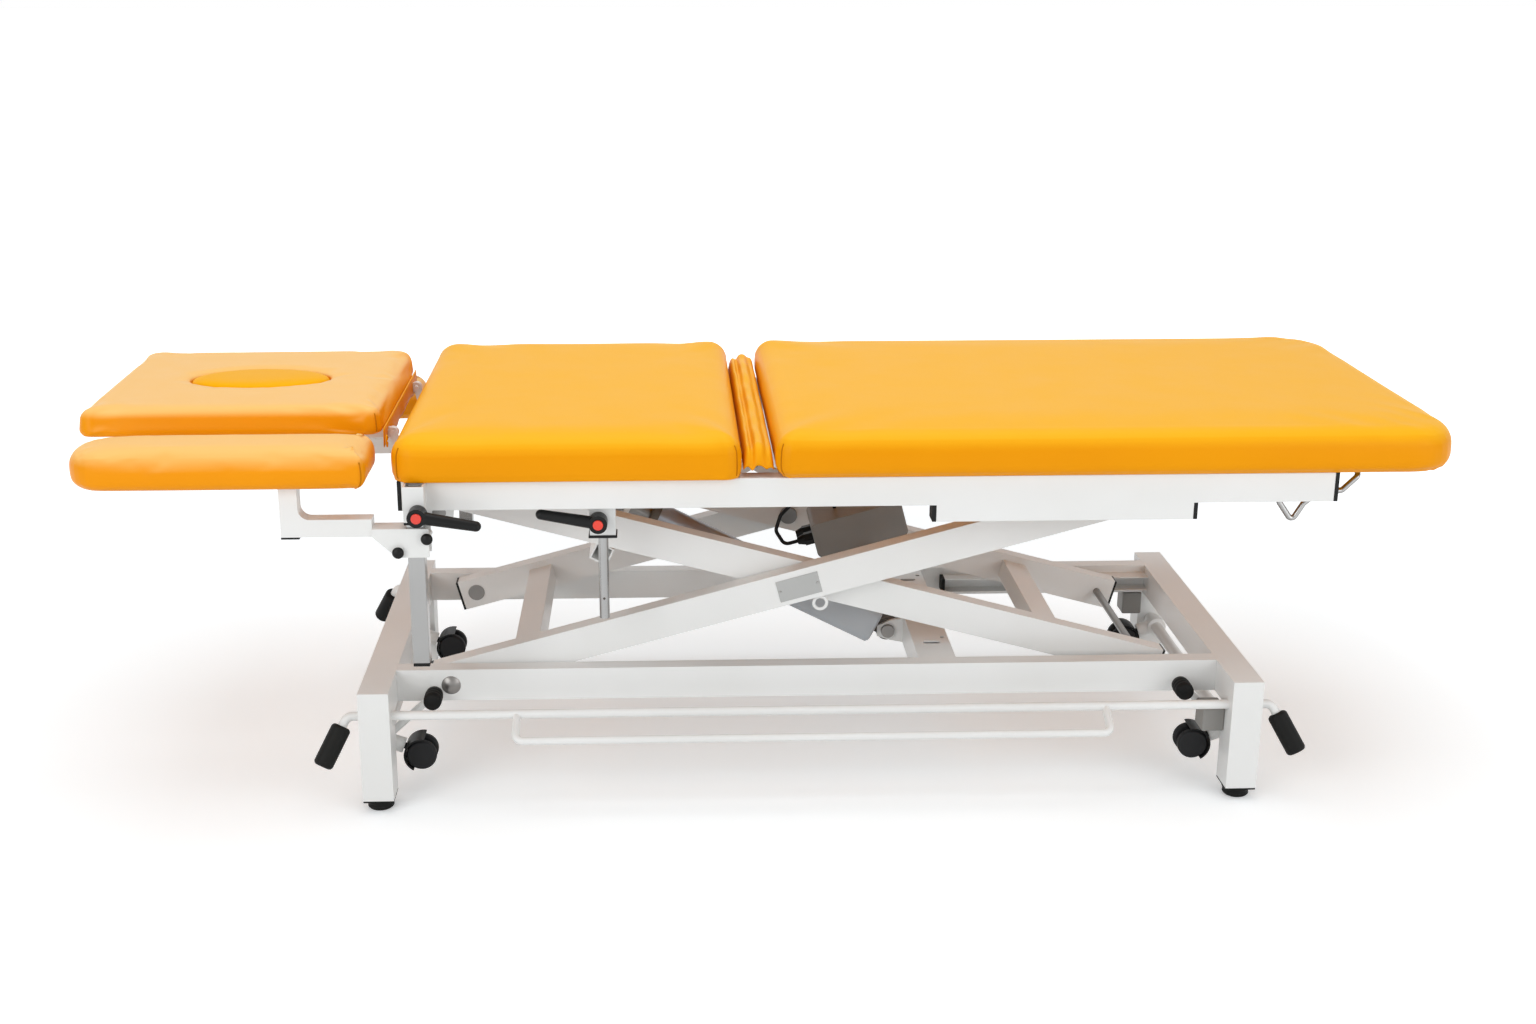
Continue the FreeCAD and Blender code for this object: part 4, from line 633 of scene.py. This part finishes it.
@dataclass
class FacePlug:
    """Oval pillow that fills the face opening."""

    around: int = 72
    up: int = 36
    squareness: float = 5.0

    def build(self) -> bpy.types.Object:
        """Make the plug in place of its CAD solid, as a superellipse turned into a pillow.

        Returns:
            The plug.
        """
        low, high = corners("face_plug")
        mid = (low + high) / 2
        half = (high - low) / 2
        bm = bmesh.new()
        bmesh.ops.create_uvsphere(bm, u_segments=self.around, v_segments=self.up, radius=1.0)
        power = 2.0 / self.squareness
        for vertex in bm.verts:
            out = math.hypot(vertex.co.x, vertex.co.y)
            spread = out ** power / out if out > SAME_POINT else 0.0
            rise = math.copysign(abs(vertex.co.z) ** power, vertex.co.z)
            vertex.co = (mid.x + half.x * vertex.co.x * spread, mid.y + half.y * vertex.co.y * spread,
                         mid.z + half.z * rise)
        piece = add_piece("face_plug_pad", bm, BRIGHT_VINYL, "plug")
        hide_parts("face_plug")
        return piece


@dataclass
class Gusset:
    """Folded vinyl strip that closes the gap between the two large cushions."""

    left: float = -0.0362
    right: float = 0.0098
    crest: float = 0.560
    foot: float = 0.524
    thick: float = 0.0016
    steps: int = 16
    count: int = 90
    notch: float = 0.035
    arch: float = 0.030
    fullness: float = 0.27
    pleats: tuple[Point, ...] = ((0.0100, 0.30, 0.06), (0.0045, 0.74, 0.08))
    sway: float = 0.25

    def _height(self, turn: float, along: float) -> float:
        """Height of the fold's surface.

        Args:
            turn: Share of the way across the gap.
            along: Share of the way along the cushions.

        Returns:
            The height in metres.
        """
        hump = max(0.0, math.sin(turn * math.pi)) ** self.fullness
        pleat = sum(depth * math.exp(-((turn - at) / width) ** 2) for depth, at, width in self.pleats)
        slack = 0.0016 * math.sin(along * 19.0) + 0.0010 * math.sin(along * 43.0 + turn * 5.0)
        ends = min(along, 1.0 - along)
        drop = self.arch * max(0.0, 1.0 - ends / self.notch) ** 2
        fold = self.foot + (self.crest - self.foot) * hump
        return fold - pleat * (1.0 + self.sway * math.sin(along * 17.0)) + slack * hump - drop * hump

    def build(self) -> bpy.types.Object:
        """Make the fold in place of its CAD solid.

        Returns:
            The fold.
        """
        low, high = corners("gusset")
        line = [(self.left + (self.right - self.left) * i / self.steps, low.y, 0.0)
                for i in range(self.steps + 1)]
        bm = drawn_strip(line, high.y - low.y, self.count)
        for vertex in bm.verts:
            turn = (vertex.co.x - self.left) / (self.right - self.left)
            along = (vertex.co.y - low.y) / (high.y - low.y)
            vertex.co.z = self._height(turn, along)
        piece = add_piece("gusset_fold", bm, VINYL, None)
        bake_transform(piece, "upper_frame", "middle_section", start=(self.right, 0.0, self.crest),
                 end=(self.left, 0.0, self.crest))
        solid = piece.modifiers.new("cover", "SOLIDIFY")
        solid.thickness = self.thick
        smooth = piece.modifiers.new("roundness", "SUBSURF")
        smooth.levels = smooth.render_levels = 1
        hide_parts("gusset")
        return piece


@dataclass
class Seams:
    """Sewn joins down the corners of a cushion."""

    pad: bpy.types.Object
    spots: list[tuple[float, float]]
    low: float
    high: float
    radius: float = 0.0011
    reach: float = 0.035
    stations: int = 12
    fewest: int = 4
    outside: float = 0.5
    proud: float = 0.0002

    def build(self) -> bpy.types.Object:
        """Lay a fine welt on the cushion's surface at each corner.

        Returns:
            One piece with all the welts.
        """
        shaped = self.pad.evaluated_get(bpy.context.evaluated_depsgraph_get())
        tree = BVHTree.FromObject(shaped, bpy.context.evaluated_depsgraph_get())
        joined = bmesh.new()
        box = [Vector(c) for c in self.pad.bound_box]
        centre = sum(box, Vector()) / 8
        for x, y in self.spots:
            line = []
            for i in range(self.stations + 1):
                aim = Vector((x, y, self.low + (self.high - self.low) * i / self.stations))
                inside = aim - Vector((math.copysign(self.reach, x - centre.x),
                                       math.copysign(self.reach, y - centre.y), 0.0))
                way = (aim - inside).normalized()
                hit = tree.ray_cast(inside + way * self.outside, -way)
                if hit[0] is not None:
                    line.append(hit[0] + way * self.proud)
            if len(line) < self.fewest:
                continue
            made = tube_mesh(line, self.radius, 8)
            scrap = bpy.data.meshes.new("welt")
            made.to_mesh(scrap)
            made.free()
            joined.from_mesh(scrap)
            bpy.data.meshes.remove(scrap)
        body = body_of(self.pad)
        rider = body if isinstance(body, str) else list(body)[0]
        # The welts are coloured with painted crease shade.
        return add_piece(self.pad.name + "_seams", joined, SEAM_CREASE_SHADE, rider)


@dataclass
class HeadFlap:
    """Vinyl flap with a pull loop that hangs from the hinge end of the head cushion."""

    x: float = -0.5655
    half: float = 0.196
    top: float = 0.560
    bottom: float = 0.5305
    thick: float = 0.0012
    count: int = 60
    loop_at: Point = (-0.5600, -0.2010, 0.5420)
    loop_radius: float = 0.0085
    loop_wire: float = 0.0013
    rows: int = 5

    def build(self) -> bpy.types.Object:
        """Make the flap and its loop.

        Returns:
            The flap.
        """
        line = [(self.x, -self.half, self.top + (self.bottom - self.top) * i / self.rows)
                for i in range(self.rows + 1)]
        bm = drawn_strip(line, 2 * self.half, self.count)
        for vertex in bm.verts:
            y = vertex.co.y
            drop = (self.top - vertex.co.z) / (self.top - self.bottom)
            vertex.co.x += 0.0012 * drop * math.sin(y * 46.0) + 0.0006 * drop * math.sin(y * 97.0)
            vertex.co.z += 0.0022 * drop * math.sin(y * 31.0)
        piece = add_piece("head_flap", bm, VINYL, "head_section")
        solid = piece.modifiers.new("cover", "SOLIDIFY")
        solid.thickness = self.thick
        across, up = self.loop_radius * 0.5, self.loop_radius
        ring = [Vector(self.loop_at) + Vector((0.0, across * math.cos(t), up * math.sin(t)))
                for t in (math.tau * i / 28 for i in range(28))]
        add_piece("head_loop", tube_mesh(ring, self.loop_wire, 8), VINYL, "head_section")
        return piece


@dataclass
class PegSleeves:
    """Black rubber sleeve slipped over the peg of a castor crank."""

    side: str
    way: int
    x: float = -0.5017
    z: float = 0.1563
    y_from: float = -0.2500
    y_to: float = -0.2828
    radius: float = 0.0131
    centre_x: float = 0.070
    ring_half: float = 0.002
    ring_rise: float = 0.0008
    rings: int = 3

    def build(self) -> bpy.types.Object:
        """Make the sleeve with three raised rings and a domed end.

        Returns:
            The sleeve.
        """
        x = self.x if self.way < 0 else 2 * self.centre_x - self.x
        bm = bmesh.new()
        profile = [(0.0, self.y_to - 0.0015), (self.radius * 0.8, self.y_to - 0.0012),
                   (self.radius, self.y_to + 0.001)]
        length = self.y_from - self.y_to
        for i in range(self.rings):
            at = self.y_to + length * (0.25 + 0.25 * i)
            profile += [(self.radius, at - self.ring_half), (self.radius + self.ring_rise, at),
                        (self.radius, at + self.ring_half)]
        profile += [(self.radius, self.y_from), (self.radius - 0.0015, self.y_from + 0.0002)]
        verts = [bm.verts.new((x + out, y, self.z)) for out, y in profile]
        edges = [bm.edges.new(pair) for pair in zip(verts, verts[1:])]
        bmesh.ops.spin(bm, geom=verts + edges, cent=(x, 0.0, self.z), axis=(0.0, 1.0, 0.0), angle=math.tau,
                       steps=32, use_merge=True)
        bmesh.ops.remove_doubles(bm, verts=bm.verts, dist=SAME_POINT)
        return add_piece(self.side + "_peg_sleeve", bm, BLACK_RUBBER, self.side + "_castor_gear")


@dataclass
class CarriageCaps:
    """Black caps on the carriage's two rollers and under the holder's leg of an armrest."""

    side: str
    rollers: tuple[tuple[float, float], ...] = ((-0.4882, 0.4380), (-0.5298, 0.4180))
    face_y: float = -0.3565
    roller_radius: float = 0.0086
    leg_x: float = -0.6825
    leg_y: float = -0.3350
    leg_half: float = 0.0130
    leg_z: float = 0.4400
    cap_height: float = 0.0030
    cap_lap: float = 0.0006
    rear_drop: float = 0.0600
    flatness: float = 0.62

    def build(self) -> bpy.types.Object:
        """Make the three caps.

        Returns:
            One piece with all of them.
        """
        flip = 1.0 if self.side == "front" else -1.0
        drop = 0.0 if self.side == "front" else self.rear_drop
        bm = bmesh.new()
        for x, z in self.rollers:
            dome = bmesh.ops.create_uvsphere(bm, u_segments=28, v_segments=14,
                                             radius=self.roller_radius)["verts"]
            bmesh.ops.scale(bm, vec=(1.0, self.flatness, 1.0), verts=dome)
            bmesh.ops.translate(bm, vec=(x, flip * self.face_y, z - drop), verts=dome)
        spot = Vector((self.leg_x, flip * self.leg_y, self.leg_z - drop - self.cap_height / 2))
        width = 2 * self.leg_half + self.cap_lap
        place = Matrix.Translation(spot) @ Matrix.Diagonal((width, width, self.cap_height, 1.0))
        cap = bmesh.ops.create_cube(bm, size=1.0, matrix=place)["verts"]
        edges = list({e for v in cap for e in v.link_edges})
        bmesh.ops.bevel(bm, geom=edges, offset=0.0008, affect="EDGES", segments=2, profile=0.5, material=-1)
        return add_piece(self.side + "_carriage_caps", bm, BLACK_PLASTIC, self.side + "_armrest")


@dataclass
class LabelPlate:
    """Bare metal plate riveted to the front of the outer arm."""

    centre: Point = (0.0545, -0.2115, 0.3085)
    length: float = 0.066
    height: float = 0.034
    thick: float = 0.001
    tilt: float = 15.06
    rivet: float = 0.0018
    rivet_inset: float = 0.004

    def build(self) -> bpy.types.Object:
        """Make the plate and its rivets.

        Returns:
            The plate.
        """
        bm = bmesh.new()
        place = Matrix.Translation(self.centre) @ Matrix.Rotation(-math.radians(self.tilt), 4, "Y")
        size = Matrix.Diagonal((self.length, self.thick, self.height, 1.0))
        bmesh.ops.create_cube(bm, size=1.0, matrix=place @ size)
        bmesh.ops.bevel(bm, geom=bm.edges[:], offset=0.0004, affect="EDGES", segments=2, profile=0.5,
                        material=-1)
        for side in (-1, 1):
            spot = place @ Matrix.Translation((side * (self.length / 2 - self.rivet_inset), -0.0006, 0.0))
            turn = Matrix.Rotation(math.pi / 2, 4, "X")
            bmesh.ops.create_uvsphere(bm, u_segments=12, v_segments=6, radius=self.rivet, matrix=spot @ turn)
        return add_piece("label_plate", bm, PLATE, "outer_scissor", smooth=False)


@dataclass(frozen=True)
class Lamp:
    """A soft square lamp: its place, the point that it faces, its side and its power in watts."""

    name: str
    at: Point
    aim: Point
    size: float
    power: float


@dataclass
class Studio:
    """Pale floor, soft light and the camera of the photograph."""

    camera_at: Point = (-0.1507, -2.9274, 1.2671)
    pitch: float = 72.87
    yaw: float = -2.01
    lens: float = 44.27
    shift: float = 0.0267
    floor_size: float = 30.0
    fill: float = 0.46
    cool: Point = (0.975, 0.99, 1.0)
    glow: float = 0.28
    glow_near: float = 1.2
    glow_far: float = 3.2
    floor_colour: Point = (0.91, 0.93, 0.94)
    floor_drop: float = 0.0005
    sensor: float = 36.0
    lamps: tuple[Lamp, ...] = (
        Lamp("overhead", (0.0, 0.3, 3.4), (0.0, 0.0, 0.4), 3.2, 48.0),
        Lamp("front_left", (-2.4, -3.0, 1.7), (0.0, 0.0, 0.30), 2.2, 50.0),
        Lamp("front_right", (2.6, -2.6, 1.4), (0.0, 0.0, 0.30), 2.2, 35.0),
    )

    def _floor(self) -> None:
        """White floor that keeps the object's shadow."""
        bm = bmesh.new()
        bmesh.ops.create_grid(bm, x_segments=1, y_segments=1, size=self.floor_size)
        bmesh.ops.translate(bm, vec=(0.0, 0.0, -self.floor_drop), verts=bm.verts)
        mesh = bpy.data.meshes.new("floor")
        bm.to_mesh(mesh)
        bm.free()
        floor = bpy.data.objects.new("floor", mesh)
        bpy.context.scene.collection.objects.link(floor)
        mat = bpy.data.materials.new("studio_floor")
        mat.use_nodes = True
        shader = mat.node_tree.nodes["Principled BSDF"]
        shader.inputs["Base Color"].default_value = (*self.floor_colour, 1.0)
        shader.inputs["Roughness"].default_value = 0.9
        shader.inputs["Specular IOR Level"].default_value = 0.1
        self._lift_floor(mat.node_tree, shader)
        mesh.materials.append(mat)

    def _lift_floor(self, tree: bpy.types.NodeTree, shader: bpy.types.Node) -> None:
        """Brighten the floor to white for the camera, more so away from the object.

        Args:
            tree: The floor material's node tree.
            shader: Its surface shader, which keeps the shadow.
        """
        coords = tree.nodes.new("ShaderNodeTexCoord").outputs["Object"]
        length = tree.nodes.new("ShaderNodeVectorMath")
        length.operation = "LENGTH"
        tree.links.new(coords, length.inputs[0])
        spread = tree.nodes.new("ShaderNodeMapRange")
        spread.inputs["From Min"].default_value = self.glow_near
        spread.inputs["From Max"].default_value = self.glow_far
        spread.inputs["To Min"].default_value = self.glow
        spread.inputs["To Max"].default_value = 1.0
        tree.links.new(length.outputs["Value"], spread.inputs["Value"])
        strength = tree.nodes.new("ShaderNodeMath")
        strength.operation = "MULTIPLY"
        tree.links.new(spread.outputs["Result"], strength.inputs[0])
        tree.links.new(self._seen(tree), strength.inputs[1])
        glow = tree.nodes.new("ShaderNodeEmission")
        tree.links.new(strength.outputs[0], glow.inputs["Strength"])
        both = tree.nodes.new("ShaderNodeAddShader")
        tree.links.new(shader.outputs[0], both.inputs[0])
        tree.links.new(glow.outputs[0], both.inputs[1])
        tree.links.new(both.outputs[0], tree.nodes["Material Output"].inputs["Surface"])

    def _seen(self, tree: bpy.types.NodeTree) -> bpy.types.NodeSocket:
        """Add a switch that is 1 for what the camera sees, directly or in metal and glass.

        Args:
            tree: The node tree that takes it.

        Returns:
            The switch.
        """
        path = tree.nodes.new("ShaderNodeLightPath")
        seen = path.outputs["Is Camera Ray"]
        for kind in ("Is Glossy Ray", "Is Transmission Ray"):
            either = tree.nodes.new("ShaderNodeMath")
            either.operation = "MAXIMUM"
            tree.links.new(seen, either.inputs[0])
            tree.links.new(path.outputs[kind], either.inputs[1])
            seen = either.outputs[0]
        return seen

    def _world(self) -> None:
        """White surroundings for the camera and reflections, plain light on the object."""
        world = bpy.data.worlds.new("studio")
        bpy.context.scene.world = world
        world.use_nodes = True
        tree = world.node_tree
        fill = tree.nodes["Background"]
        fill.inputs["Color"].default_value = (*self.cool, 1.0)
        fill.inputs["Strength"].default_value = self.fill
        seen = tree.nodes.new("ShaderNodeBackground")
        seen.inputs["Color"].default_value = (1.0, 1.0, 1.0, 1.0)
        seen.inputs["Strength"].default_value = 1.0
        mix = tree.nodes.new("ShaderNodeMixShader")
        tree.links.new(self._seen(tree), mix.inputs[0])
        tree.links.new(fill.outputs[0], mix.inputs[1])
        tree.links.new(seen.outputs[0], mix.inputs[2])
        tree.links.new(mix.outputs[0], tree.nodes["World Output"].inputs["Surface"])

    def _light(self, lamp: Lamp) -> None:
        """Add a lamp to the scene.

        Args:
            lamp: The lamp.
        """
        light = bpy.data.lights.new(lamp.name, "AREA")
        light.shape = "SQUARE"
        light.size = lamp.size
        light.energy = lamp.power
        light.color = self.cool
        holder = bpy.data.objects.new(lamp.name, light)
        holder.location = lamp.at
        holder.rotation_euler = (Vector(lamp.aim) - Vector(lamp.at)).to_track_quat("-Z", "Y").to_euler()
        bpy.context.scene.collection.objects.link(holder)

    def build(self) -> None:
        """Set up the floor, lights, camera and view."""
        self._floor()
        self._world()
        for lamp in self.lamps:
            self._light(lamp)
        data = bpy.data.cameras.new("camera")
        data.sensor_width = self.sensor
        data.lens = self.lens
        data.shift_x = self.shift
        camera = bpy.data.objects.new("camera", data)
        camera.location = self.camera_at
        camera.rotation_euler = (math.radians(self.pitch), 0.0, math.radians(self.yaw))
        bpy.context.scene.collection.objects.link(camera)
        bpy.context.scene.camera = camera
        bpy.context.scene.view_settings.view_transform = "Standard"


WELD_REACH = 0.00001
FLAT_ANGLE = math.radians(0.4)
EDGE_ANGLE = math.radians(35.0)
EDGE_WIDTH = 0.0009


def dress_frame(frame: dict) -> None:
    """Give each carried-over CAD node its finish and softened edges.
    """
    slots = {s["node"]: s["material_slot"] for s in frame["record"]["subparts"]}
    for name, node in frame["nodes"].items():
        finish = SLOT_FINISH[slots[name]]
        node.data.materials.clear()
        node.data.materials.append(finish.material())
        weld = node.modifiers.new("weld", "WELD")
        weld.merge_threshold = WELD_REACH
        flats = node.modifiers.new("flats", "DECIMATE")
        flats.decimate_type = "DISSOLVE"
        flats.angle_limit = FLAT_ANGLE
        bevel = node.modifiers.new("soft_edges", "BEVEL")
        bevel.limit_method = "ANGLE"
        bevel.angle_limit = EDGE_ANGLE
        bevel.width = EDGE_WIDTH
        bevel.segments = 2
        bevel.harden_normals = True
        even = node.modifiers.new("even_normals", "WEIGHTED_NORMAL")
        even.keep_sharp = True
        LOG.info("%s: %s", name, finish.name)


def main() -> None:
    """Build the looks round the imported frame."""
    logging.basicConfig(level=logging.INFO)
    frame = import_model()
    dress_frame(frame)
    long_pad = Pad("long_cushion_pad", "long_cushion", "upper_frame", VINYL, right_corner=0.075,
                   edge=0.032, under_edge=0.018).build()
    middle_pad = Pad("middle_cushion_pad", "middle_cushion", "middle_section", VINYL, left_corner=0.040,
                     edge=0.032).build()
    head_pad = HeadPad("head_cushion_pad", "head_cushion", "head_section", PALE_VINYL, edge=0.013,
                       under_edge=0.008, cell=0.009, left_corner=0.022, right_corner=0.022).build()
    for side in SIDES:
        rest = Pad(side + "_armrest_cushion", side + "_armrest_pad", side + "_armrest", PALE_VINYL,
                   left_corner=0.055, right_corner=0.012, edge=0.026, under_edge=0.018, cell=0.009).build()
        low, high = corners(side + "_armrest_pad")
        outer = low.y if side == "front" else high.y
        Seams(rest, [(high.x - 0.003, outer)], low.z + 0.006, high.z - 0.018).build()
    FacePlug().build()
    Gusset().build()
    HeadFlap().build()
    Seams(long_pad, [(0.006, -0.342), (0.006, 0.342)], 0.520, 0.566).build()
    Seams(middle_pad, [(-0.545, -0.342), (-0.033, -0.342), (-0.545, 0.342), (-0.033, 0.342)],
          0.520, 0.564).build()
    Seams(head_pad, [(-0.567, -0.209), (-0.567, 0.209)], 0.557, 0.584).build()
    for side, way in (("left", -1), ("right", 1)):
        PegSleeves(side, way).build()
    for side in SIDES:
        CarriageCaps(side).build()
    LabelPlate().build()
    Studio().build()


if __name__ == "__main__":
    main()
